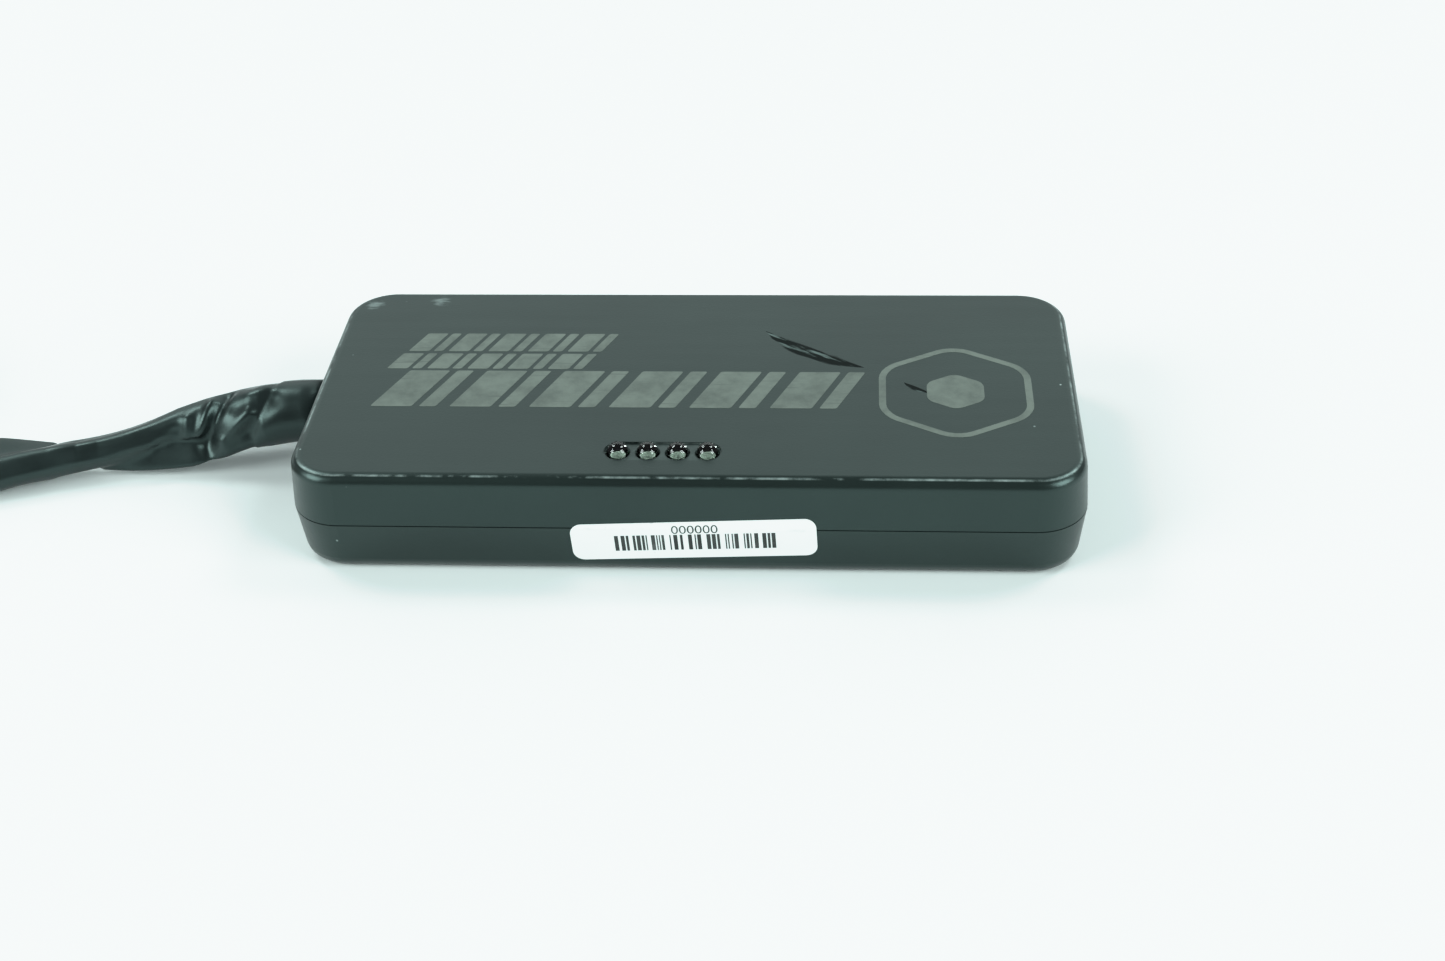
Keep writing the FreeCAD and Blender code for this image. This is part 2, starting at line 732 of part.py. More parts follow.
def plug_latch():
    """A rocker on two trunnions: pressing the ribbed rear pad lifts the hook at the front."""
    low = latch_pivot_z - latch_thickness / 2
    high = latch_pivot_z + latch_thickness / 2
    half = latch_width / 2
    front = plug_body_length + 9.5
    arm = box((1.0, front), (-half, half), (low, high))
    arm = arm.makeFillet(0.4, edges_along(arm, V(0, 1, 0)))
    hook = box((front - 2.6, front - 0.6), (-half + 1.0, half - 1.0), (low - 1.2, low + 0.4))
    arm = arm.fuse(hook)
    for i in range(3):
        x = 1.8 + 1.3 * i
        arm = arm.fuse(box((x, x + 0.6), (-half + 0.6, half - 0.6), (high - 0.2, high + 0.4)))
    trunnion = cylinder(latch_trunnion_radius, V(latch_pivot_x, -half - 1.8, latch_pivot_z), V(0, 1, 0), 2 * half + 3.6)
    return arm.fuse(trunnion).removeSplitter()


def in_plug_frame(shapes):
    """Moves shapes from the plug's own axes to where the plug lies."""
    for shape in shapes:
        shape.translate(plug_rear)
    return shapes


def export(name, shapes):
    """Writes one node as a STEP file of its separate solids."""
    if not isinstance(shapes, list):
        shapes = [shapes]
    solids = [s for shape in shapes for s in shape.Solids]
    for solid in solids:
        if not solid.isValid():
            print(f"{name}: a solid is not valid")
    made = solids[0] if len(solids) == 1 else Part.makeCompound(solids)
    made.exportStep(f"parts/{name}.step")


def harness_tubes():
    made = {}
    for name, route in (("harness_sleeve", sleeve_route), ("harness_tail", tail_route)):
        solid, radii, length = tube(route, sleeve_radius)
        report_tube(name, solid, radii, length, sleeve_radius)
        made[name] = solid
    return made


def power_parts():
    made = {"injector_drivers": [], "driver_tabs": []}
    for place in driver_places:
        body, tab = power_package(*place)
        made["injector_drivers"].append(body)
        made["driver_tabs"].append(tab)
    made["voltage_regulator"], made["regulator_tab"] = power_package(*regulator_place)
    return made


def main():
    os.makedirs("parts", exist_ok=True)
    nodes = {
        "top_cover": top_cover(),
        "bottom_cover": bottom_cover(),
        "case_gasket": case_gasket(),
        "case_screws": case_screws(),
        "circuit_board": circuit_board(),
        "board_screws": board_screws(),
        "processor": processor(),
        "processor_pins": processor_pins(),
        "crystal": crystal(),
        "filter_capacitor_1": filter_capacitor(-9.0, 14.0),
        "filter_capacitor_2": filter_capacitor(-22.0, -3.0),
        "surge_diode": surge_diode(),
        "chip_resistors": chip_parts(resistor_places, 2.0, 1.25, 0.5),
        "chip_capacitors": chip_parts(chip_capacitor_places, 2.0, 1.25, 0.9),
        "board_wires": board_wires(),
        "cable_grommet": cable_grommet(),
        "retaining_tie": retaining_tie(),
        "barcode_label": barcode_label(),
        "entry_sleeve": entry_sleeve(),
        "harness_hank": harness_hank(),
        "hank_tie": hank_tie(),
        "end_sleeve": end_sleeve(),
        "plug_wires": plug_wires(),
    }
    nodes.update(power_parts())
    nodes.update(harness_tubes())
    frames = []
    for number, x in enumerate(lamp_places(), 1):
        nodes[f"lamp_{number}"] = lamp(x)
        frames += lamp_frame(x)
    nodes["lamp_leads"] = frames
    plug = {
        "plug_housing": [plug_housing()],
        "plug_face_seal": [plug_face_seal()],
        "plug_wire_seal": [plug_wire_seal()],
        "plug_rear_cap": [plug_rear_cap()],
        "plug_wedge_lock": [plug_wedge_lock()],
        "plug_terminals": plug_terminals(),
        "plug_latch": [plug_latch()],
    }
    for name, shapes in plug.items():
        nodes[name] = in_plug_frame(shapes)
    for name, shapes in nodes.items():
        export(name, shapes)
    print(len(nodes), "nodes")


main()
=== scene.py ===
import json
import math
import random

import bmesh
import bpy
import numpy as np
from mathutils import Matrix, Vector, noise


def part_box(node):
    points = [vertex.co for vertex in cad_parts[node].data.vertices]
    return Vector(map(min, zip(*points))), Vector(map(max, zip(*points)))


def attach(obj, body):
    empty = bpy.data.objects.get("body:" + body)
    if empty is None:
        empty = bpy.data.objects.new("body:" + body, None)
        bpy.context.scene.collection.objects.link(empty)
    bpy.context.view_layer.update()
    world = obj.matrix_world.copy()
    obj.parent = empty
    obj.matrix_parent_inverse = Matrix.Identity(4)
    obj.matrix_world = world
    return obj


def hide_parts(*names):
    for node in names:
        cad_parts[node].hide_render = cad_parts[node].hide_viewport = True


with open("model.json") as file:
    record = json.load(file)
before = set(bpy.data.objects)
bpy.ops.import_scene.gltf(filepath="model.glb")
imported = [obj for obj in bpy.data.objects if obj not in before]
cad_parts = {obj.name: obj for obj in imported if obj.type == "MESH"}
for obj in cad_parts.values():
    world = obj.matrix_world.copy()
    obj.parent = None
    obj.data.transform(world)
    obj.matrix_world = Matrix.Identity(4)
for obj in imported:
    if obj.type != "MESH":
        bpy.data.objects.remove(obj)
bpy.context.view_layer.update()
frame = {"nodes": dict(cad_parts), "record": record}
mm = 0.001
print("frame loaded:", len(frame["nodes"]), "nodes")


def hexToLinear(code):
    values = []
    for i in (1, 3, 5):
        c = int(code[i:i + 2], 16) / 255
        values.append(c / 12.92 if c <= 0.04045 else ((c + 0.055) / 1.055) ** 2.4)
    return (*values, 1)


def setInputs(tree, node, inputs):
    for key, value in inputs.items():
        if isinstance(value, bpy.types.NodeSocket):
            tree.links.new(value, node.inputs[key])
        else:
            node.inputs[key].default_value = value


def addNode(tree, kind, inputs=None, **settings):
    node = tree.nodes.new("ShaderNode" + kind)
    for key, value in settings.items():
        setattr(node, key, value)
    setInputs(tree, node, inputs or {})
    return node


def newMaterial(name):
    material = bpy.data.materials.new(name)
    material.use_nodes = True
    return material, material.node_tree, material.node_tree.nodes["Principled BSDF"]


def clearSelection():
    if bpy.context.mode != "OBJECT":
        bpy.ops.object.mode_set(mode="OBJECT")
    bpy.ops.object.select_all(action="DESELECT")


def applyPlace(piece):
    clearSelection()
    piece.select_set(True)
    bpy.context.view_layer.objects.active = piece
    bpy.ops.object.transform_apply(location=True, rotation=True, scale=True)


def applyModifiers(piece):
    clearSelection()
    piece.select_set(True)
    bpy.context.view_layer.objects.active = piece
    for modifier in list(piece.modifiers):
        bpy.ops.object.modifier_apply(modifier=modifier.name)


def joinPieces(pieces):
    clearSelection()
    for piece in pieces:
        piece.select_set(True)
    bpy.context.view_layer.objects.active = pieces[0]
    bpy.ops.object.join()
    return bpy.context.object


def copyPiece(piece, offset):
    copied = piece.copy()
    copied.data = piece.data.copy()
    bpy.context.scene.collection.objects.link(copied)
    copied.location = Vector(piece.location) + Vector(offset)
    return copied


def selectCorners(piece, wanted):
    # leaves the piece in edit mode, with only the corners that are wanted selected
    clearSelection()
    piece.select_set(True)
    bpy.context.view_layer.objects.active = piece
    bpy.ops.object.mode_set(mode="EDIT")
    bpy.ops.mesh.select_mode(type="VERT")
    bpy.ops.mesh.select_all(action="DESELECT")
    mesh = bmesh.from_edit_mesh(piece.data)
    for corner in mesh.verts:
        if wanted(corner.co):
            corner.select = True
    mesh.select_flush(True)
    bmesh.update_edit_mesh(piece.data)


def finishPiece(piece, name, material, body="module"):
    piece.name = name
    piece.data.name = name
    piece.data.materials.clear()
    piece.data.materials.append(material)
    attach(piece, body)
    return piece


# Camera, at the height of someone looking down at a bench

viewer = {"place": (0.02176, -0.23064, 0.1601), "turn": 4.555, "tilt": 34.985, "roll": -2.149, "lens": 50}

bpy.ops.object.camera_add(location=viewer["place"])
camera = bpy.context.object
aim = Matrix.Rotation(math.radians(viewer["turn"]), 4, "Z")
aim = aim @ Matrix.Rotation(math.radians(90 - viewer["tilt"]), 4, "X")
aim = aim @ Matrix.Rotation(math.radians(viewer["roll"]), 4, "Z")
camera.rotation_euler = aim.to_euler()
camera.data.lens = viewer["lens"]
camera.data.sensor_width = 36
camera.data.clip_start = 0.01
bpy.context.scene.camera = camera

# the exposure is generous, so whites roll off softly below pure white
tones = {"white": 1.6, "bends": [(0.5, 0.8), (0.66, 0.905), (1.0, 0.962)]}
view = bpy.context.scene.view_settings
view.view_transform = "Standard"
view.use_curve_mapping = True
view.curve_mapping.white_level = [tones["white"]] * 3
toneCurve = view.curve_mapping.curves[3]
toneCurve.points[-1].location = tones["bends"][-1]
for place in tones["bends"][:-1]:
    toneCurve.points.new(*place)
toneCurve.points[0].handle_type = "VECTOR"
toneCurve.points[1].handle_type = "VECTOR"
view.curve_mapping.update()


# Finishes. Each takes its places from the case, which is level, with its front along -Y

case = {"top": 15 * mm, "seam": 7.7 * mm}
coolGloss = (0.74, 1, 0.97, 1)  # black plastics mirror the cool studio light
caseWear = {
    "clouds": 22.2 * mm,
    "wipes": (20 * mm, 1.54 * mm, 1.54 * mm),  # streaks, long along X
    "rubbedLine": {"below": 0.16 * mm, "core": 0.02 * mm, "reach": 0.1 * mm, "patches": 4.17 * mm},
    "specks": {"apart": 2.38 * mm, "size": (0.03, 0.08), "from": 42 * mm, "to": 49 * mm},
    "chalk": {"places": ((-47.8 * mm, 19.9 * mm), (-38.4 * mm, 20.9 * mm)), "reach": 3.4 * mm, "slant": -0.7,
              "dash": (2 * mm, 0.526 * mm)},
    "grain": 0.385 * mm,
    "scrapes": [
        {"centre": (16.2 * mm, 8.0 * mm, 0), "angle": -34.9, "length": 17 * mm, "width": 2.6 * mm,
         "sag": 1.25 * mm, "comb": 20},
        {"centre": (30.2 * mm, -1.9 * mm, 0), "angle": -37, "length": 4.4 * mm, "width": 1.0 * mm,
         "sag": 0.3 * mm, "comb": 12},
    ],
    "threads": {"apart": 0.588 * mm, "stretch": 0.14, "ragged": 1.3, "height": 4.0},
}


def addScrape(tree, place, mark):
    # a torn crescent on the top: its mask, and the raised threads of plastic that cross it at a slant
    threads = caseWear["threads"]
    shifted = addNode(tree, "VectorMath", {0: place, 1: mark["centre"]}, operation="SUBTRACT")
    turn = math.radians(-mark["angle"])
    local = addNode(tree, "Mapping", {"Vector": shifted.outputs["Vector"], "Rotation": (0, 0, turn)})
    axes = addNode(tree, "SeparateXYZ", {"Vector": local.outputs["Vector"]})
    along = addNode(tree, "Math", {0: axes.outputs["X"], 1: mark["length"] / 2}, operation="DIVIDE")
    square = addNode(tree, "Math", {0: along.outputs[0], 1: along.outputs[0]}, operation="MULTIPLY")
    bow = addNode(tree, "Math", {0: 1.0, 1: square.outputs[0]}, operation="SUBTRACT", use_clamp=True)
    middle = addNode(tree, "Math", {0: bow.outputs[0], 1: mark["sag"], 2: axes.outputs["Y"]},
                     operation="MULTIPLY_ADD")
    away = addNode(tree, "Math", {0: middle.outputs[0]}, operation="ABSOLUTE")
    reach = addNode(tree, "Math", {0: bow.outputs[0], 1: mark["width"] / 2, 2: 1e-6},
                    operation="MULTIPLY_ADD")
    share = addNode(tree, "Math", {0: away.outputs[0], 1: reach.outputs[0]}, operation="DIVIDE")
    comb = math.radians(mark["comb"])
    slant = addNode(tree, "Mapping", {"Vector": local.outputs["Vector"], "Rotation": (0, 0, comb),
                                      "Scale": (threads["stretch"], 1, 1)})
    streak = addNode(tree, "TexNoise", {"Vector": slant.outputs["Vector"], "Detail": 3,
                                        "Scale": 1 / threads["apart"]})
    ragged = addNode(tree, "Math", {0: streak.outputs["Fac"], 1: threads["ragged"], 2: share.outputs[0]},
                     operation="MULTIPLY_ADD")
    mask = addNode(tree, "MapRange", {"Value": ragged.outputs[0], "From Min": 1.4, "From Max": 1.75,
                                      "To Min": 1.0, "To Max": 0.0})
    return mask.outputs["Result"], streak.outputs["Fac"]


def satinAbs():
    # moulded black ABS: a fine satin grain, rubbed pale along its top edge, with dust, chalky scuffs
    # and torn scrapes
    material, tree, shader = newMaterial("satinMouldedAbs")
    place = addNode(tree, "TexCoord").outputs["Object"]
    axes = addNode(tree, "SeparateXYZ", {"Vector": place})
    cloud = addNode(tree, "TexNoise", {"Vector": place, "Scale": 1 / caseWear["clouds"], "Detail": 5})
    tone = addNode(tree, "ValToRGB", {"Fac": cloud.outputs["Fac"]})
    tone.color_ramp.elements[0].position = 0.3
    tone.color_ramp.elements[0].color = hexToLinear("#0d1312")
    tone.color_ramp.elements[1].position = 0.75
    tone.color_ramp.elements[1].color = hexToLinear("#151d1b")

    # wiping leaves faint streaks in the gloss
    wiped = addNode(tree, "Mapping", {"Vector": place, "Scale": [1 / size for size in caseWear["wipes"]]})
    streaks = addNode(tree, "TexNoise", {"Vector": wiped.outputs["Vector"], "Scale": 1, "Detail": 3})
    gloss = addNode(tree, "MapRange", {"Value": streaks.outputs["Fac"], "From Min": 0.3, "From Max": 0.7,
                                       "To Min": 0.29, "To Max": 0.34})

    # the top edge is rubbed in a broken line, 0.2 mm wide
    rub = caseWear["rubbedLine"]
    below = addNode(tree, "Math", {0: axes.outputs["Z"], 1: case["top"] - rub["below"]}, operation="SUBTRACT")
    away = addNode(tree, "Math", {0: below.outputs[0]}, operation="ABSOLUTE")
    line = addNode(tree, "MapRange", {"Value": away.outputs[0], "From Min": rub["core"],
                                      "From Max": rub["reach"], "To Min": 1.0, "To Max": 0.0})
    broken = addNode(tree, "TexNoise", {"Vector": place, "Scale": 1 / rub["patches"], "Detail": 6,
                                        "Roughness": 0.7})
    patches = addNode(tree, "MapRange", {"Value": broken.outputs["Fac"], "From Min": 0.42, "From Max": 0.64,
                                         "To Max": 0.55})
    rubbed = addNode(tree, "Math", {0: line.outputs["Result"], 1: patches.outputs["Result"]},
                     operation="MULTIPLY")

    # pale specks, 0.25 mm, gather near the two ends
    speck = caseWear["specks"]
    cells = addNode(tree, "TexVoronoi", {"Vector": place, "Scale": 1 / speck["apart"]})
    dot = addNode(tree, "MapRange", {"Value": cells.outputs["Distance"], "From Min": speck["size"][0],
                                     "From Max": speck["size"][1], "To Min": 1.0, "To Max": 0.0})
    pick = addNode(tree, "SeparateColor", {"Color": cells.outputs["Color"]})
    chosen = addNode(tree, "Math", {0: pick.outputs["Red"], 1: 0.7}, operation="GREATER_THAN")
    side = addNode(tree, "Math", {0: axes.outputs["X"]}, operation="ABSOLUTE")
    nearEnd = addNode(tree, "MapRange", {"Value": side.outputs[0], "From Min": speck["from"],
                                         "From Max": speck["to"]})
    dots = addNode(tree, "Math", {0: dot.outputs["Result"], 1: chosen.outputs[0]}, operation="MULTIPLY")
    specks = addNode(tree, "Math", {0: dots.outputs[0], 1: nearEnd.outputs["Result"]}, operation="MULTIPLY")

    # chalky scuffs at the back left corner, short slanted dashes
    dash = caseWear["chalk"]["dash"]
    corner, edge = [addNode(tree, "VectorMath", {0: place, 1: (*spot, case["top"])},
                            operation="DISTANCE") for spot in caseWear["chalk"]["places"]]
    nearest = addNode(tree, "Math", {0: corner.outputs["Value"], 1: edge.outputs["Value"]},
                      operation="MINIMUM")
    slanted = addNode(tree, "Mapping", {"Vector": place, "Scale": (1 / dash[0], 1 / dash[1], 1),
                                        "Rotation": (0, 0, caseWear["chalk"]["slant"])})
    chalk = addNode(tree, "TexNoise", {"Vector": slanted.outputs["Vector"], "Scale": 1, "Detail": 4,
                                       "Roughness": 0.65})
    near = addNode(tree, "MapRange", {"Value": nearest.outputs[0], "From Max": caseWear["chalk"]["reach"],
                                      "To Min": 1.0, "To Max": 0.0})
    chalked = addNode(tree, "Math", {0: near.outputs["Result"], 1: chalk.outputs["Fac"]},
                      operation="MULTIPLY")
    scuffed = addNode(tree, "MapRange", {"Value": chalked.outputs[0], "From Min": 0.3, "From Max": 0.48,
                                         "To Max": 0.3})
    pale = addNode(tree, "Math", {0: rubbed.outputs[0], 1: specks.outputs[0]}, operation="MAXIMUM")
    pale = addNode(tree, "Math", {0: pale.outputs[0], 1: scuffed.outputs["Result"]}, operation="MAXIMUM")
    colour = addNode(tree, "Mix", {0: pale.outputs[0], 6: tone.outputs["Color"], 7: hexToLinear("#a9b8b6")},
                     data_type="RGBA").outputs[2]

    # torn scrapes: dark, with pale lifted threads
    grain = addNode(tree, "TexNoise", {"Vector": place, "Scale": 1 / caseWear["grain"], "Detail": 2})
    height = grain.outputs["Fac"]
    mirror = coolGloss
    rough = gloss.outputs["Result"]
    for mark in caseWear["scrapes"]:
        mask, streak = addScrape(tree, place, mark)
        thread = addNode(tree, "ValToRGB", {"Fac": streak})
        thread.color_ramp.elements[0].position = 0.54
        thread.color_ramp.elements[0].color = hexToLinear("#020303")
        thread.color_ramp.elements[1].position = 0.68
        thread.color_ramp.elements[1].color = hexToLinear("#5a6664")
        colour = addNode(tree, "Mix", {0: mask, 6: colour, 7: thread.outputs["Color"]},
                         data_type="RGBA").outputs[2]
        rough = addNode(tree, "Mix", {0: mask, 2: rough, 3: 0.85}).outputs[0]
        mirror = addNode(tree, "Mix", {0: mask, 6: mirror, 7: (0.25, 0.33, 0.32, 1)},
                         data_type="RGBA").outputs[2]
        torn = addNode(tree, "Math", {0: mask, 1: streak}, operation="MULTIPLY")
        height = addNode(tree, "Math", {0: torn.outputs[0], 1: caseWear["threads"]["height"], 2: height},
                         operation="MULTIPLY_ADD").outputs[0]
    bump = addNode(tree, "Bump", {"Height": height, "Strength": 0.5, "Distance": 0.02 * mm})
    setInputs(tree, shader, {"Base Color": colour, "Roughness": rough, "Specular Tint": mirror,
                             "Normal": bump.outputs["Normal"], "IOR": 1.54})
    return material


def mouldedFinish(name, dark, light, grainSize, roughness, depth, ior=1.5):
    # a moulded or extruded part of one colour: a clouded tone, a gloss that varies with it, and a fine grain
    material, tree, shader = newMaterial(name)
    place = addNode(tree, "TexCoord").outputs["Object"]
    cloud = addNode(tree, "TexNoise", {"Vector": place, "Scale": 1 / (5.56 * mm), "Detail": 4})
    tone = addNode(tree, "ValToRGB", {"Fac": cloud.outputs["Fac"]})
    tone.color_ramp.elements[0].position = 0.3
    tone.color_ramp.elements[0].color = hexToLinear(dark)
    tone.color_ramp.elements[1].position = 0.7
    tone.color_ramp.elements[1].color = hexToLinear(light)
    gloss = addNode(tree, "MapRange", {"Value": cloud.outputs["Fac"], "From Min": 0.3, "From Max": 0.7,
                                       "To Min": roughness - 0.05, "To Max": roughness + 0.07})
    grain = addNode(tree, "TexNoise", {"Vector": place, "Scale": 1 / grainSize, "Detail": 2})
    bump = addNode(tree, "Bump", {"Height": grain.outputs["Fac"], "Strength": 0.4, "Distance": depth})
    setInputs(tree, shader, {"Base Color": tone.outputs["Color"], "Roughness": gloss.outputs["Result"],
                             "Normal": bump.outputs["Normal"], "IOR": ior})
    return material


def metalFinish(name, code, grain, roughness, depth):
    # bare or plated metal: fine drawn lines along the grain's longest direction, and a slightly uneven gloss
    material, tree, shader = newMaterial(name)
    place = addNode(tree, "TexCoord").outputs["Object"]
    drawn = addNode(tree, "Mapping", {"Vector": place, "Scale": [1 / size for size in grain]})
    lines = addNode(tree, "TexNoise", {"Vector": drawn.outputs["Vector"], "Scale": 1, "Detail": 3})
    tone = addNode(tree, "Mix", {0: lines.outputs["Fac"], 6: hexToLinear(code),
                                 7: [c * 0.75 for c in hexToLinear(code)[:3]] + [1]}, data_type="RGBA")
    gloss = addNode(tree, "MapRange", {"Value": lines.outputs["Fac"], "From Min": 0.3, "From Max": 0.7,
                                       "To Min": roughness - 0.06, "To Max": roughness + 0.08})
    bump = addNode(tree, "Bump", {"Height": lines.outputs["Fac"], "Strength": 0.3, "Distance": depth})
    setInputs(tree, shader, {"Base Color": tone.outputs[2], "Roughness": gloss.outputs["Result"],
                             "Normal": bump.outputs["Normal"], "Metallic": 1})
    return material


def orangeSilicone():
    # moulded silicone rubber: saturated orange, waxy, and slightly translucent at thin lips
    material = mouldedFinish("orangeSilicone", "#a83c10", "#c24c18", 0.3 * mm, 0.42, 0.03 * mm, 1.41)
    tree = material.node_tree
    setInputs(tree, tree.nodes["Principled BSDF"], {"Subsurface Weight": 0.1,
                                                    "Subsurface Radius": (0.8 * mm, 0.3 * mm, 0.1 * mm)})
    return material


def clearEpoxy():
    # cast clear epoxy, as a lamp's lens is: water clear with a faint green cast, and a polished skin
    material, tree, shader = newMaterial("clearCastEpoxy")
    place = addNode(tree, "TexCoord").outputs["Object"]
    swirl = addNode(tree, "TexNoise", {"Vector": place, "Scale": 1 / (1.43 * mm), "Detail": 2})
    tone = addNode(tree, "Mix", {0: swirl.outputs["Fac"], 6: hexToLinear("#e3ece4"),
                                 7: hexToLinear("#f2f7f3")}, data_type="RGBA")
    setInputs(tree, shader, {"Base Color": tone.outputs[2], "Transmission Weight": 1, "Roughness": 0.04,
                             "IOR": 1.54})
    return material


def labelStock():
    # coated white label film: flat white, darker in broken patches along the line over the seam, and a few
    # small spots
    material, tree, shader = newMaterial("coatedLabelFilm")
    place = addNode(tree, "TexCoord").outputs["Object"]
    axes = addNode(tree, "SeparateXYZ", {"Vector": place})
    # darker in broken patches along a thin line at the seam's height; the spots below are mixed into the same
    # mask
    above = addNode(tree, "Math", {0: axes.outputs["Z"], 1: case["seam"]}, operation="SUBTRACT")
    away = addNode(tree, "Math", {0: above.outputs[0]}, operation="ABSOLUTE")
    crease = addNode(tree, "MapRange", {"Value": away.outputs[0], "From Min": 0.03 * mm, "From Max": 0.3 * mm,
                                        "To Min": 1.0, "To Max": 0.0})
    cloud = addNode(tree, "TexNoise", {"Vector": place, "Scale": 1 / (5.26 * mm), "Detail": 6,
                                       "Roughness": 0.65})
    seamPatches = addNode(tree, "MapRange", {"Value": cloud.outputs["Fac"], "From Min": 0.5, "From Max": 0.72,
                                       "To Max": 0.5})
    inCrease = addNode(tree, "Math", {0: crease.outputs["Result"], 1: seamPatches.outputs["Result"]},
                       operation="MULTIPLY")
    spot = addNode(tree, "TexNoise", {"Vector": place, "Scale": 1 / (1.613 * mm), "Detail": 3})
    spots = addNode(tree, "MapRange", {"Value": spot.outputs["Fac"], "From Min": 0.7, "From Max": 0.78,
                                       "To Max": 0.5})
    seamLineAndSpots = addNode(tree, "Math", {0: inCrease.outputs[0], 1: spots.outputs["Result"]}, operation="MAXIMUM")
    colour = addNode(tree, "Mix", {0: seamLineAndSpots.outputs[0], 6: hexToLinear("#f4f8f7"), 7: hexToLinear("#5d5f58")},
                     data_type="RGBA")
    fibre = addNode(tree, "TexNoise", {"Vector": place, "Scale": 1 / (0.667 * mm), "Detail": 3})
    bump = addNode(tree, "Bump", {"Height": fibre.outputs["Fac"], "Strength": 0.15, "Distance": 0.01 * mm})
    setInputs(tree, shader, {"Base Color": colour.outputs[2], "Normal": bump.outputs["Normal"],
                             "Roughness": 0.42})
    return material


def wornInk(name, code, wear):
    # ink laid thinly on plastic or film: it thins to what lies under it in rubbed patches and fine scratches
    material, tree, shader = newMaterial(name)
    place = addNode(tree, "TexCoord").outputs["Object"]
    cloud = addNode(tree, "TexNoise", {"Vector": place, "Scale": 1 / (4.55 * mm), "Detail": 7,
                                       "Roughness": 0.68})
    thin = addNode(tree, "MapRange", {"Value": cloud.outputs["Fac"], "From Min": 0.42, "From Max": 0.66,
                                      "To Max": wear["patches"]})
    hairScale = (1 / (11.1 * mm), 1 / (0.417 * mm), 1)
    turned = addNode(tree, "Mapping", {"Vector": place, "Rotation": (0, 0, 0.6), "Scale": hairScale})
    hair = addNode(tree, "TexNoise", {"Vector": turned.outputs["Vector"], "Scale": 1, "Detail": 2})
    scratched = addNode(tree, "MapRange", {"Value": hair.outputs["Fac"], "From Min": 0.62, "From Max": 0.7,
                                           "To Max": wear["scratches"]})
    gone = addNode(tree, "Math", {0: thin.outputs["Result"], 1: scratched.outputs["Result"]},
                   operation="MAXIMUM")
    colour = addNode(tree, "Mix", {0: gone.outputs[0], 6: hexToLinear(code), 7: hexToLinear(wear["under"])},
                     data_type="RGBA")
    gloss = addNode(tree, "MapRange", {"Value": cloud.outputs["Fac"], "From Min": 0.3, "From Max": 0.7,
                                       "To Min": 0.36, "To Max": 0.46})
    setInputs(tree, shader, {"Base Color": colour.outputs[2], "Roughness": gloss.outputs["Result"],
                             "IOR": 1.5})
    return material


def solderMask():
    # glass epoxy board under a glossy green solder mask, with copper tracks showing pale every 1.2 mm
    material, tree, shader = newMaterial("greenSolderMask")
    place = addNode(tree, "TexCoord").outputs["Object"]
    tracks = addNode(tree, "TexBrick", {"Vector": place, "Scale": 1 / (7.69 * mm),
                                        "Color1": hexToLinear("#0f4a26"), "Color2": hexToLinear("#15572e"),
                                        "Mortar": hexToLinear("#1d6b3a"), "Mortar Size": 0.03,
                                        "Brick Width": 1.4, "Row Height": 0.16})
    bump = addNode(tree, "Bump", {"Height": tracks.outputs["Fac"], "Strength": 0.3, "Distance": 0.03 * mm})
    setInputs(tree, shader, {"Base Color": tracks.outputs["Color"], "Normal": bump.outputs["Normal"],
                             "Roughness": 0.25})
    return material


def wireInsulation(name, spread):
    # thin-wall PVC insulation, softly glossy, in assorted colours, one for each column of wires
    material, tree, shader = newMaterial(name)
    place = addNode(tree, "TexCoord").outputs["Object"]
    axes = addNode(tree, "SeparateXYZ", {"Vector": place})
    ahead = addNode(tree, "MapRange", {"Value": axes.outputs["X"], "From Min": spread["from"],
                                       "From Max": spread["to"], "To Min": spread["narrow"],
                                       "To Max": spread["wide"]})
    side = addNode(tree, "Math", {0: axes.outputs["Y"], 1: spread["middle"]}, operation="SUBTRACT")
    column = addNode(tree, "Math", {0: side.outputs[0], 1: ahead.outputs["Result"]}, operation="DIVIDE")
    shade = addNode(tree, "MapRange", {"Value": column.outputs[0], "From Min": -1.5, "From Max": 1.5})
    tone = addNode(tree, "ValToRGB", {"Fac": shade.outputs["Result"]})
    tone.color_ramp.interpolation = "CONSTANT"
    tone.color_ramp.elements[0].color = hexToLinear("#7a3b14")
    tone.color_ramp.elements[1].position = 0.333
    tone.color_ramp.elements[1].color = hexToLinear("#16181a")
    tone.color_ramp.elements.new(0.667).color = hexToLinear("#b98a12")
    grain = addNode(tree, "TexNoise", {"Vector": place, "Scale": 1 / (1.11 * mm), "Detail": 3})
    bump = addNode(tree, "Bump", {"Height": grain.outputs["Fac"], "Strength": 0.2, "Distance": 0.02 * mm})
    setInputs(tree, shader, {"Base Color": tone.outputs["Color"], "Normal": bump.outputs["Normal"],
                             "Roughness": 0.4})
    return material


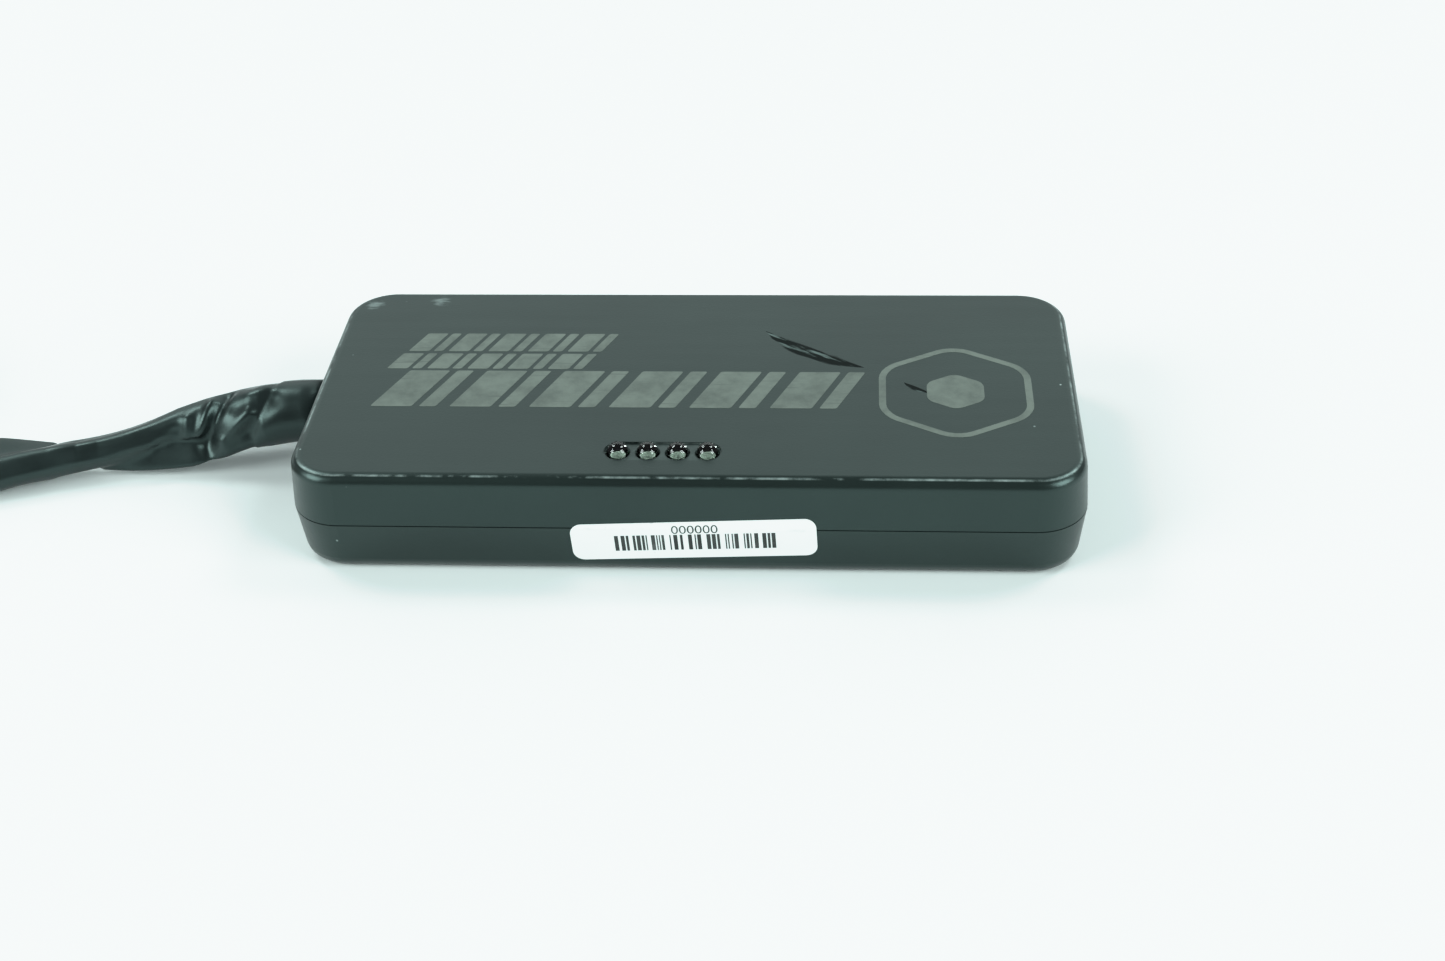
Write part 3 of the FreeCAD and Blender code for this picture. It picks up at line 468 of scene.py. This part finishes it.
finishes = {
    "case_plastic": satinAbs(),
    "silicone_seal": orangeSilicone(),
    "lamp_lens": clearEpoxy(),
    "label_paper": labelStock(),
    "circuit_board": solderMask(),
    # black oxide leaves a thin matt conversion layer, so the steel's lines still show
    "black_screw": metalFinish("blackOxideSteel", "#2a2b2c", (1 * mm, 0.2 * mm, 0.2 * mm), 0.42, 0.01 * mm),
    "steel": metalFinish("zincPlatedSteel", "#b9bcc0", (1 * mm, 0.2 * mm, 0.2 * mm), 0.3, 0.01 * mm),
    "tinned_metal": metalFinish("tinPlate", "#c9cac4", (0.6 * mm, 0.15 * mm, 0.15 * mm), 0.28, 0.01 * mm),
    "can_metal": metalFinish("drawnAluminiumCan", "#c6c8ca", (0.3 * mm, 0.3 * mm, 2 * mm), 0.32, 0.01 * mm),
    # epoxy moulding compound: matt, and slightly sandy from its silica filler
    "chip_resin": mouldedFinish("epoxyMouldingCompound", "#141516", "#1f2021", 0.15 * mm, 0.55, 0.02 * mm),
    "chip_ceramic": mouldedFinish("firedCeramic", "#8a6c48", "#a78560", 0.2 * mm, 0.5, 0.01 * mm),
    "black_rubber": mouldedFinish("mouldedRubber", "#0f1111", "#191c1c", 0.3 * mm, 0.5, 0.03 * mm, 1.52),
    "nylon_tie": mouldedFinish("blackNylonTie", "#0f1011", "#1a1c1d", 0.4 * mm, 0.35, 0.02 * mm, 1.53),
    # polyolefin heat shrink drawn tight: semi-matt, with faint ripples
    "heat_shrink": mouldedFinish("polyolefinHeatShrink", "#0f1312", "#1b2120", 0.9 * mm, 0.34, 0.05 * mm),
    # glass-filled nylon: matt black, with pale fibre ends
    "plug_nylon": mouldedFinish("glassFilledNylon", "#121314", "#242627", 0.35 * mm, 0.45, 0.03 * mm, 1.53),
    "wedge_lock_nylon": mouldedFinish("orangeNylon", "#b5400a", "#cc5210", 0.35 * mm, 0.4, 0.02 * mm, 1.53),
    "pvc_sleeve": mouldedFinish("plainPvcTube", "#14191a", "#242b2c", 0.5 * mm, 0.35, 0.03 * mm, 1.53),
    "wire_insulation": wireInsulation("boardWires", {"from": -44 * mm, "to": -37 * mm, "narrow": 1.75 * mm,
                                                     "wide": 5.2 * mm, "middle": 3.2 * mm}),
}
for slotName in ("heat_shrink", "black_rubber", "nylon_tie", "plug_nylon"):
    finishes[slotName].node_tree.nodes["Principled BSDF"].inputs["Specular Tint"].default_value = coolGloss
plugWires = wireInsulation("plugWires", {"from": -165 * mm, "to": -161 * mm, "narrow": 1.75 * mm,
                                         "wide": 4.2 * mm, "middle": 3 * mm})
slotOf = {part["node"]: part["material_slot"] for part in frame["record"]["subparts"]}
for name, node in frame["nodes"].items():
    finish = plugWires if name == "plug_wires" else finishes[slotOf[name]]
    for place in node.material_slots:
        place.material = finish
print("finishes:", len(finishes))


# Print on the top: slanted stripes and a hexagon badge, as thin layers of ink

topPrint = {
    "depth": 0.02 * mm,
    "lean": 0.42,  # sideways step for each step up a stripe
    "corner": 0.3 * mm,
    "band": {"left": -43.2, "step": 10.75, "count": 6, "low": -7.2, "high": 1.9, "wide": 5.6, "narrow": 2.3,
             "gap": 1.0},
    "rows": [
        {"left": -40.6, "step": 5.6, "count": 5, "low": 7.0, "high": 11.8, "wide": 2.9, "narrow": 1.3,
         "gap": 0.6},
        {"left": -42.8, "step": 5.6, "count": 5, "low": 2.4, "high": 6.4, "wide": 2.9, "narrow": 1.3,
         "gap": 0.6},
    ],
    "badge": {"centre": (35.3, -2.8), "radius": 11.8, "line": 0.95, "innerRadius": 4.4, "corner": 0.22},
}


def addStripe(left, low, high, width):
    middle = ((left + width / 2) * mm, (low + high) / 2 * mm, case["top"])
    bpy.ops.mesh.primitive_plane_add(size=1, location=middle)
    stripe = bpy.context.object
    stripe.scale = (width * mm, (high - low) * mm, 1)
    applyPlace(stripe)
    selectCorners(stripe, lambda corner: corner.y > middle[1])
    bpy.ops.transform.translate(value=(topPrint["lean"] * (high - low) * mm, 0, 0))
    bpy.ops.mesh.select_all(action="SELECT")
    bpy.ops.mesh.bevel(offset=topPrint["corner"], segments=3, affect="VERTICES")
    bpy.ops.object.mode_set(mode="OBJECT")
    return stripe


def addStripeRow(row):
    wide = addStripe(row["left"], row["low"], row["high"], row["wide"])
    narrow = addStripe(row["left"] + row["wide"] + row["gap"], row["low"], row["high"], row["narrow"])
    stripes = [wide, narrow]
    for i in range(1, row["count"]):
        stripes += [copyPiece(stripe, (i * row["step"] * mm, 0, 0)) for stripe in (wide, narrow)]
    return stripes


def addBadge():
    # a plain hexagon in outline, with a solid one inside
    badge = topPrint["badge"]
    x, y = badge["centre"]
    made = []
    for radius in (badge["radius"], badge["innerRadius"]):
        bpy.ops.mesh.primitive_circle_add(vertices=6, radius=radius * mm, fill_type="NGON",
                                          location=(x * mm, y * mm, case["top"]))
        made.append(bpy.context.object)
        selectCorners(made[-1], lambda corner: True)
        bpy.ops.mesh.bevel(offset=badge["corner"] * radius * mm, segments=5, affect="VERTICES")
        bpy.ops.object.mode_set(mode="OBJECT")
    selectCorners(made[0], lambda corner: True)
    bpy.ops.mesh.inset(thickness=badge["line"] * mm)
    bpy.ops.mesh.delete(type="FACE")
    bpy.ops.object.mode_set(mode="OBJECT")
    return made


def buildTopPrint():
    pieces = addStripeRow(topPrint["band"]) + addBadge()
    for row in topPrint["rows"]:
        pieces += addStripeRow(row)
    for piece in pieces:
        applyPlace(piece)
    printed = joinPieces(pieces)
    skin = printed.modifiers.new("skin", "SOLIDIFY")
    skin.thickness = topPrint["depth"]
    skin.offset = 1
    applyModifiers(printed)
    return printed


ink = wornInk("greyPadPrintInk", "#5d665f", {"patches": 0.45, "scratches": 0.5, "under": "#222a28"})
finishPiece(buildTopPrint(), "topPrint", ink)
print("top print made")


# Pale diffusing cups inside the lamps' lenses, under the four domes

lampCups = {"lamps": ("lamp_1", "lamp_2", "lamp_3", "lamp_4"), "wide": 0.62 * mm, "narrow": 0.5 * mm,
            "top": 14.42 * mm, "depth": 0.45 * mm, "wall": 0.08 * mm, "hollow": 0.8, "taper": 0.62}


def buildLampCups():
    centres = []
    for lamp in lampCups["lamps"]:
        low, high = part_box(lamp)
        centres.append(((low[0] + high[0]) / 2, (low[1] + high[1]) / 2))
    x, y = centres[0]
    bpy.ops.mesh.primitive_cone_add(vertices=32, radius1=lampCups["narrow"], radius2=lampCups["wide"],
                                    depth=lampCups["depth"], end_fill_type="NGON",
                                    location=(x, y, lampCups["top"] - lampCups["depth"] / 2))
    cup = bpy.context.object
    applyPlace(cup)
    selectCorners(cup, lambda corner: corner.z > lampCups["top"] - 0.01 * mm)
    bpy.ops.mesh.inset(thickness=lampCups["wall"])
    hollow = -lampCups["hollow"] * lampCups["depth"]
    bpy.ops.mesh.extrude_region_move(TRANSFORM_OT_translate={"value": (0, 0, hollow)})
    bpy.ops.transform.resize(value=(lampCups["taper"], lampCups["taper"], 1))
    bpy.ops.object.mode_set(mode="OBJECT")
    cups = [cup] + [copyPiece(cup, (centre[0] - x, centre[1] - y, 0)) for centre in centres[1:]]
    for piece in cups:
        applyPlace(piece)
    return joinPieces(cups)


def diffusingResin():
    # milky epoxy filled with chalk: a soft, matt, greenish grey under the clear lens
    material, tree, shader = newMaterial("milkyEpoxy")
    place = addNode(tree, "TexCoord").outputs["Object"]
    cloud = addNode(tree, "TexNoise", {"Vector": place, "Scale": 1 / (0.714 * mm), "Detail": 3})
    tone = addNode(tree, "Mix", {0: cloud.outputs["Fac"], 6: hexToLinear("#7f8c82"),
                                 7: hexToLinear("#a9b6ab")}, data_type="RGBA")
    setInputs(tree, shader, {"Base Color": tone.outputs[2], "Roughness": 0.5})
    return material


finishPiece(buildLampCups(), "lampCups", diffusingResin())
print("lamp cups made")


# Print on the stock label: bars of chance widths and a row of noughts, upside down as the label is

labelPrint = {
    "centre": (1.3, 5.85),
    "tilt": 2.3,
    "bars": {"left": -8.95, "right": 12.6, "low": 4.28, "high": 6.9, "groups": 9, "groupGap": 0.3,
             "unit": 0.17, "widths": (1, 2, 3, 3), "spaces": (1, 1, 1, 2)},
    "digits": {"text": "000000", "left": -1.45, "right": 4.55, "middle": 7.78, "height": 1.3},
    "ahead": -30 * mm,  # in front of the wall, until it is projected onto the label
    "lift": 0.008 * mm,
    "depth": 0.012 * mm,
    "seed": 11,
}


def addBars():
    bars = labelPrint["bars"]
    middle = (bars["low"] + bars["high"]) / 2 * mm
    bpy.ops.mesh.primitive_plane_add(size=1, location=(0, labelPrint["ahead"], middle),
                                     rotation=(math.pi / 2, 0, 0))
    unit = bpy.context.object
    unit.scale = (bars["unit"] * mm, (bars["high"] - bars["low"]) * mm, 1)
    random.seed(labelPrint["seed"])
    made = []
    groupWidth = (bars["right"] - bars["left"]) / bars["groups"]
    for group in range(bars["groups"]):
        x = bars["left"] + group * groupWidth
        end = x + groupWidth - bars["groupGap"]
        while x < end - 2 * bars["unit"]:
            wide = random.choice(bars["widths"]) * bars["unit"]
            wide = min(wide, end - x)
            bar = copyPiece(unit, ((x + wide / 2) * mm, 0, 0))
            bar.scale.x = wide * mm
            made.append(bar)
            x += wide + random.choice(bars["spaces"]) * bars["unit"]
    bpy.data.objects.remove(unit)
    return made


def addDigits():
    digits = labelPrint["digits"]
    bpy.ops.object.text_add(location=(0, 0, 0))
    text = bpy.context.object
    text.data.body = digits["text"]
    text.data.align_x = "CENTER"
    text.data.align_y = "CENTER"
    text.data.resolution_u = 6
    bpy.ops.object.convert(target="MESH")
    row = bpy.context.object
    width, height = row.dimensions[0], row.dimensions[1]
    row.scale = ((digits["right"] - digits["left"]) * mm / width, digits["height"] * mm / height, 1)
    row.rotation_euler = (math.pi / 2, math.pi, 0)
    row.location = ((digits["left"] + digits["right"]) / 2 * mm, labelPrint["ahead"], digits["middle"] * mm)
    return row


def buildLabelPrint():
    pieces = addBars() + [addDigits()]
    for piece in pieces:
        applyPlace(piece)
    printed = joinPieces(pieces)
    pivot = Vector((labelPrint["centre"][0] * mm, labelPrint["ahead"], labelPrint["centre"][1] * mm))
    turn = Matrix.Translation(pivot) @ Matrix.Rotation(math.radians(-labelPrint["tilt"]), 4, "Y")
    printed.matrix_world = turn @ Matrix.Translation(-pivot)
    applyPlace(printed)
    selectCorners(printed, lambda corner: True)
    bpy.ops.mesh.bisect(plane_co=(0, 0, case["seam"]), plane_no=(0, 0, 1))
    bpy.ops.object.mode_set(mode="OBJECT")
    wrap = printed.modifiers.new("wrap", "SHRINKWRAP")
    wrap.wrap_method = "PROJECT"
    wrap.use_project_y = True
    wrap.target = frame["nodes"]["barcode_label"]
    wrap.offset = labelPrint["lift"]
    skin = printed.modifiers.new("skin", "SOLIDIFY")
    skin.thickness = labelPrint["depth"]
    skin.offset = 1
    applyModifiers(printed)
    return printed


labelInk = wornInk("blackLabelInk", "#1d1f1e", {"patches": 0.12, "scratches": 0.25, "under": "#8b908d"})
finishPiece(buildLabelPrint(), "labelPrint", labelInk)
print("label print made")


# Harness sleeve: a loose PVC tube round a bundle of wires, crumpled where it leaves the case

sleeve = {
    "diameter": 7 * mm,
    "exit": (-0.0520, 0.0032, 0.0077),
    "fromCase": [
        (-0.0550, 0.0032, 0.0077),
        (-0.0620, 0.0028, 0.0072),
        (-0.0715, 0.0008, 0.0050),
        (-0.0820, -0.0019, 0.0035),
        (-0.0970, -0.0044, 0.0034),
        (-0.1120, -0.0098, 0.0035),
        (-0.1238, -0.0191, 0.0035),
    ],
    "toPlug": [
        (-0.2286, 0.0225, 0.0035),
        (-0.2176, 0.0235, 0.0035),
        (-0.2054, 0.0190, 0.0035),
        (-0.1956, 0.0092, 0.0035),
        (-0.1840, 0.0030, 0.0035),
        (-0.1716, 0.0030, 0.0035),
    ],
    "fineLength": 52,  # mm from the case that show every fold
    "fineStep": 0.3,
    "step": 1.3,
    "ringPoints": 64,
    # distance along in mm, the wire bundle's radius, how far the flat web beside it reaches from its middle,
    # the web's half thickness, and its direction in degrees: 0 is to the front, 90 up
    "sections": [
        (0, 3.85, 3.9, 3.0, -30),
        (6, 4.0, 4.2, 3.0, -30),
        (10, 3.6, 5.2, 2.0, -35),
        (14, 3.1, 5.9, 1.3, -40),
        (18, 2.6, 6.1, 1.0, -44),
        (22, 2.35, 5.0, 0.9, -50),
        (26, 2.25, 3.9, 0.8, -58),
        (30, 2.2, 2.8, 0.8, -75),
        (33, 2.2, 2.6, 0.8, -150),
        (37, 2.3, 4.6, 0.8, -185),
        (44, 2.4, 7.2, 0.9, -193),
        (60, 2.6, 6.0, 1.4, -190),
        (75, 2.9, 4.0, 2.0, -185),
        (95, 3.1, 3.3, 2.6, -185),
    ],
    # each fold's two ends, as distance along in mm and direction in degrees, then its width and height in mm
    "folds": [
        ((4.2, 58), (8.4, 0), 1.3, -0.5),
        ((5.2, 84), (7.0, 76), 1.4, 0.5),
        ((7.0, 56), (9.6, 60), 1.1, -0.3),
        ((7.6, 40), (12.6, -14), 1.2, 0.75),
        ((10.6, 104), (15.4, -22), 1.05, -0.85),
        ((12.4, 92), (15.8, 20), 0.8, 0.5),
        ((16.6, 72), (17.6, 24), 0.8, 0.4),
        ((18.8, 50), (19.8, 8), 1.1, -0.35),
        ((21.2, 26), (22.0, -2), 0.9, -0.25),
    ],
    "degree": 0.07,  # mm round the sleeve for each degree
    "webBlend": 7,  # how sharply the web meets the bundle
    "webShift": 0.4,  # the share of the web's reach that moves the bundle the other way
    "shrunkEdge": {"direction": 125, "near": 3.2, "slant": 2.55, "height": 0.12, "sharpness": 5},
    # the wires' ridges grow in over a stretch, twist a little, and fade on the web
    "wires": {"from": 18, "to": 24, "count": 6, "height": 0.07, "twist": 1.5, "fade": 0.4},
    # gentle dents all along, deeper away from the case
    "dents": {"around": 1.3, "length": 7.5, "from": 7, "rise": 6, "endFall": 8, "shallow": 0.15,
              "deepen": 0.25, "deepenFrom": 40, "deepenOver": 25},
    "plugEnd": {"length": 8, "narrower": 0.12},
    "lowest": 0.12 * mm,
    "uvLength": 20,
}
hank = {
    "centre": (-0.181, 0.003),
    "halfRun": 0.040,
    "outer": 0.0280,
    "inner": 0.0210,
    "height": 0.0035,
    "foldSteps": 8,
    "runSteps": 4,
    "entry": (-68, -90),  # degrees round the first fold where the sleeve joins
    "inwardFrom": 72,  # and where it starts to wind inwards, with the degrees that this takes
    "inwardOver": 124,
}


def hankPoints():
    cx, cy = hank["centre"]
    foldSteps = hank["foldSteps"]
    points = []

    def foldPoint(side, angle, radius):
        x = cx + side * hank["halfRun"] + radius * math.cos(math.radians(angle))
        points.append((x, cy + radius * math.sin(math.radians(angle)), hank["height"]))

    def run(y, toLeft):
        for i in range(1, hank["runSteps"]):
            along = -1 + 2 * i / hank["runSteps"]
            points.append((cx + (-along if toLeft else along) * hank["halfRun"], y, hank["height"]))

    for angle in hank["entry"]:
        foldPoint(1, angle, hank["outer"])
    run(cy - hank["outer"], True)
    for i in range(foldSteps + 1):
        foldPoint(-1, -90 - 180 * i / foldSteps, hank["outer"])
    run(cy + hank["outer"], False)
    for i in range(foldSteps + 1):
        angle = 90 - 180 * i / foldSteps
        inward = min(max((hank["inwardFrom"] - angle) / hank["inwardOver"], 0), 1)
        foldPoint(1, angle, hank["outer"] + (hank["inner"] - hank["outer"]) * inward)
    run(cy - hank["inner"], True)
    for i in range(foldSteps - 1):
        foldPoint(-1, -90 - 180 * i / foldSteps, hank["inner"])
    return points


def splineLine(points):
    curve = bpy.data.curves.new("route", "CURVE")
    curve.dimensions = "3D"
    curve.resolution_u = 24
    spline = curve.splines.new("NURBS")
    spline.points.add(len(points) - 1)
    for point, place in zip(spline.points, points):
        point.co = (*place, 1)
    spline.order_u = 3
    spline.use_endpoint_u = True
    route = bpy.data.objects.new("route", curve)
    mesh = bpy.data.meshes.new_from_object(route)
    line = np.array([v.co for v in mesh.vertices])
    bpy.data.meshes.remove(mesh)
    bpy.data.objects.remove(route)
    bpy.data.curves.remove(curve)
    return line


def spacedLine(line):
    # finely spaced while the folds last, then coarsely
    along = np.concatenate([[0], np.cumsum(np.linalg.norm(np.diff(line, axis=0), axis=1))]) / mm
    fine = np.arange(0, sleeve["fineLength"], sleeve["fineStep"])
    rest = along[-1] - sleeve["fineLength"]
    coarse = np.linspace(sleeve["fineLength"], along[-1], int(rest / sleeve["step"]))
    at = np.concatenate([fine, coarse])
    return np.stack([np.interp(at, along, line[:, k]) for k in range(3)], axis=1), at


def sleeveSection(s):
    # the outline of the bundle and its web in mm, its normals, and how far each point is off the bundle
    table = np.array(sleeve["sections"], float)
    bundle, reach, half, angle = [np.interp(s, table[:, 0], table[:, k]) for k in (1, 2, 3, 4)]
    turn = np.radians(np.linspace(180, 540, 361))
    ahead = np.cos(turn)
    web = 1 / np.hypot(np.maximum(ahead, 0) / reach, np.maximum(abs(np.sin(turn)), 0.01) / half)
    web = np.where(ahead > 0, web, half)
    blend = sleeve["webBlend"]
    radius = (bundle ** blend + web ** blend) ** (1 / blend)
    shift = sleeve["webShift"] * (reach - bundle)
    closed = np.stack([ahead * radius - shift, np.sin(turn) * radius], axis=1)
    along = np.concatenate([[0], np.cumsum(np.linalg.norm(np.diff(closed, axis=0), axis=1))])
    at = np.linspace(0, along[-1], sleeve["ringPoints"] + 1)[:-1]
    ring = np.stack([np.interp(at, along, closed[:, k]) for k in (0, 1)], axis=1)
    proud = np.interp(at, along, radius - bundle)
    a = math.radians(angle)
    ring = ring @ np.array([[math.cos(a), math.sin(a)], [-math.sin(a), math.cos(a)]])
    tangent = np.roll(ring, -1, axis=0) - np.roll(ring, 1, axis=0)
    normal = np.stack([tangent[:, 1], -tangent[:, 0]], axis=1)
    normal /= np.linalg.norm(normal, axis=1)[:, None]
    return ring, normal, proud


def foldLift(s, direction):
    lift = 0
    for (startS, startTurn), (endS, endTurn), width, height in sleeve["folds"]:
        run = Vector((endS - startS, (endTurn - startTurn) * sleeve["degree"]))
        away = Vector((s - startS, ((direction - startTurn + 180) % 360 - 180) * sleeve["degree"]))
        share = min(max(away.dot(run) / run.length_squared, 0), 1)
        away -= run * share
        lift += height * math.exp(-away.length_squared / width ** 2)
    return lift


def rise(value, start, length):
    return min(max((value - start) / length, 0), 1)


def crumple(s, side, up, proud, total):
    direction = math.degrees(math.atan2(up, side))
    lift = foldLift(s, direction) if s < sleeve["fineLength"] else 0
    edge = sleeve["shrunkEdge"]
    lean = 1 - math.cos(math.radians(direction - edge["direction"]))
    lift += edge["height"] * (1 - math.tanh((s - edge["near"] - edge["slant"] * lean) * edge["sharpness"]))
    wires = sleeve["wires"]
    share = rise(s, wires["from"], wires["to"] - wires["from"]) * max(1 - proud / wires["fade"], 0)
    twisted = direction + wires["twist"] * s
    lift += share * wires["height"] * math.cos(math.radians(wires["count"] * twisted))
    dents = sleeve["dents"]
    radius = math.hypot(side, up) / dents["around"]
    loose = rise(s, dents["from"], dents["rise"]) * rise(total - s, 0, dents["endFall"])
    depth = dents["shallow"] + dents["deepen"] * rise(s, dents["deepenFrom"], dents["deepenOver"])
    lift += loose * depth * noise.noise(Vector((side / radius, up / radius, s / dents["length"])))
    return lift


def buildSleeve():
    route = sleeve["fromCase"] + hankPoints() + sleeve["toPlug"]
    line, at = spacedLine(splineLine(route))
    total = at[-1]
    mesh = bmesh.new()
    uvLayer = mesh.loops.layers.uv.new("sleeveUV")
    rings = []
    for i, (centre, s) in enumerate(zip(line, at)):
        ahead = Vector(line[min(i + 1, len(line) - 1)] - line[max(i - 1, 0)]).normalized()
        side = ahead.cross(Vector((0, 0, 1))).normalized() * -1
        up = side.cross(ahead) * -1
        if up.z < 0:
            up = -up
        if i == 0:  # the first ring stands back against the case, over the shrunk entry
            centre = (sleeve["exit"][0], centre[1], centre[2])
        plugEnd = sleeve["plugEnd"]
        endFit = 1 - plugEnd["narrower"] * rise(s, total - plugEnd["length"], plugEnd["length"])
        ring = []
        for (y, z), (ny, nz), proud in zip(*sleeveSection(s)):
            lift = crumple(s, y, z, proud, total)
            place = Vector(centre) + (side * (y + ny * lift) + up * (z + nz * lift)) * endFit * mm
            place.z = max(place.z, sleeve["lowest"])
            ring.append(mesh.verts.new(place))
        rings.append(ring)
    count = sleeve["ringPoints"]
    for i in range(len(rings) - 1):
        for k in range(count):
            n = (k + 1) % count
            face = mesh.faces.new((rings[i][k], rings[i][n], rings[i + 1][n], rings[i + 1][k]))
            face.smooth = True
            values = ((k, i), (k + 1, i), (k + 1, i + 1), (k, i + 1))
            for loop, (u, v) in zip(face.loops, values):
                loop[uvLayer].uv = (u / count, at[v] / sleeve["uvLength"])
    mesh.faces.new(rings[0])
    mesh.faces.new(reversed(rings[-1]))
    bmesh.ops.recalc_face_normals(mesh, faces=mesh.faces)
    data = bpy.data.meshes.new("harnessSleeve")
    mesh.to_mesh(data)
    mesh.free()
    piece = bpy.data.objects.new("harnessSleeve", data)
    bpy.context.scene.collection.objects.link(piece)
    return piece, line, total * mm


def pvcSleeve():
    # extruded PVC tube: a soft, oily black gloss, a little duller in clouds where it has been handled
    material, tree, shader = newMaterial("crumpledPvcTube")
    place = addNode(tree, "TexCoord").outputs["Object"]
    cloud = addNode(tree, "TexNoise", {"Vector": place, "Scale": 1 / (6.25 * mm), "Detail": 6})
    tone = addNode(tree, "ValToRGB", {"Fac": cloud.outputs["Fac"]})
    tone.color_ramp.elements[0].position = 0.3
    tone.color_ramp.elements[0].color = hexToLinear("#0e1313")
    tone.color_ramp.elements[1].position = 0.75
    tone.color_ramp.elements[1].color = hexToLinear("#1a2121")
    gloss = addNode(tree, "MapRange", {"Value": cloud.outputs["Fac"], "From Min": 0.3, "From Max": 0.7,
                                       "To Min": 0.3, "To Max": 0.42})
    fine = addNode(tree, "TexNoise", {"Vector": place, "Scale": 1 / (1.11 * mm), "Detail": 3})
    bump = addNode(tree, "Bump", {"Height": fine.outputs["Fac"], "Strength": 0.12, "Distance": 0.15 * mm})
    setInputs(tree, shader, {"Base Color": tone.outputs["Color"], "Roughness": gloss.outputs["Result"],
                             "Normal": bump.outputs["Normal"], "IOR": 1.53, "Specular Tint": coolGloss})
    return material


sleevePiece, sleeveLine, sleeveLength = buildSleeve()
finishPiece(sleevePiece, "harnessSleeve", pvcSleeve())
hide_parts("harness_sleeve", "harness_hank", "harness_tail")
print(f"harness sleeve: {sleeveLength:.3f} m long")


# Floor and lights: a pale matt floor, two small lamps behind the case, two broad ones in front, and a wide
# panel at the back

studio = {
    "floor": "#eef2f2",
    "lampLight": "#effffc",
    "sky": "#dfe6e8",
    "skyLight": 0.25,
    "skySeen": 1.3,  # brighter to the eye, so that it meets the floor's far edge with no dark line
}

bpy.ops.mesh.primitive_plane_add(size=6)
floor = bpy.context.object
floor.name = "floor"
material, tree, shader = newMaterial("paleFloor")
shader.inputs["Base Color"].default_value = hexToLinear(studio["floor"])
shader.inputs["Roughness"].default_value = 0.7
floor.data.materials.append(material)

lights = [
    {"name": "leftKey", "place": (-0.55, 0.32, 0.78), "size": (0.3, 0.3), "power": 3.0},
    {"name": "rightKey", "place": (0.55, 0.32, 0.78), "size": (0.3, 0.3), "power": 3.0},
    {"name": "leftFill", "place": (-1.0, -0.5, 0.6), "size": (0.7, 0.7), "power": 13.4},
    {"name": "rightFill", "place": (1.0, -0.5, 0.6), "size": (0.7, 0.7), "power": 13.4},
    {"name": "backPanel", "place": (0.0, 1.2, 0.75), "size": (2.6, 1.0), "power": 7.8},
]
for light in lights:
    bpy.ops.object.light_add(type="AREA", location=light["place"])
    lamp = bpy.context.object
    lamp.name = light["name"]
    lamp.data.shape = "RECTANGLE"
    lamp.data.size, lamp.data.size_y = light["size"]
    lamp.data.energy = light["power"]
    lamp.data.color = hexToLinear(studio["lampLight"])[:3]
    lamp.rotation_euler = (-Vector(light["place"])).to_track_quat("-Z", "Y").to_euler()
world = bpy.data.worlds.new("studio")
bpy.context.scene.world = world
world.use_nodes = True
background = world.node_tree.nodes["Background"]
background.inputs["Color"].default_value = hexToLinear(studio["sky"])
seen = addNode(world.node_tree, "LightPath").outputs["Is Camera Ray"]
strength = addNode(world.node_tree, "MapRange", {"Value": seen, "To Min": studio["skyLight"],
                                                 "To Max": studio["skySeen"]})
world.node_tree.links.new(strength.outputs["Result"], background.inputs["Strength"])
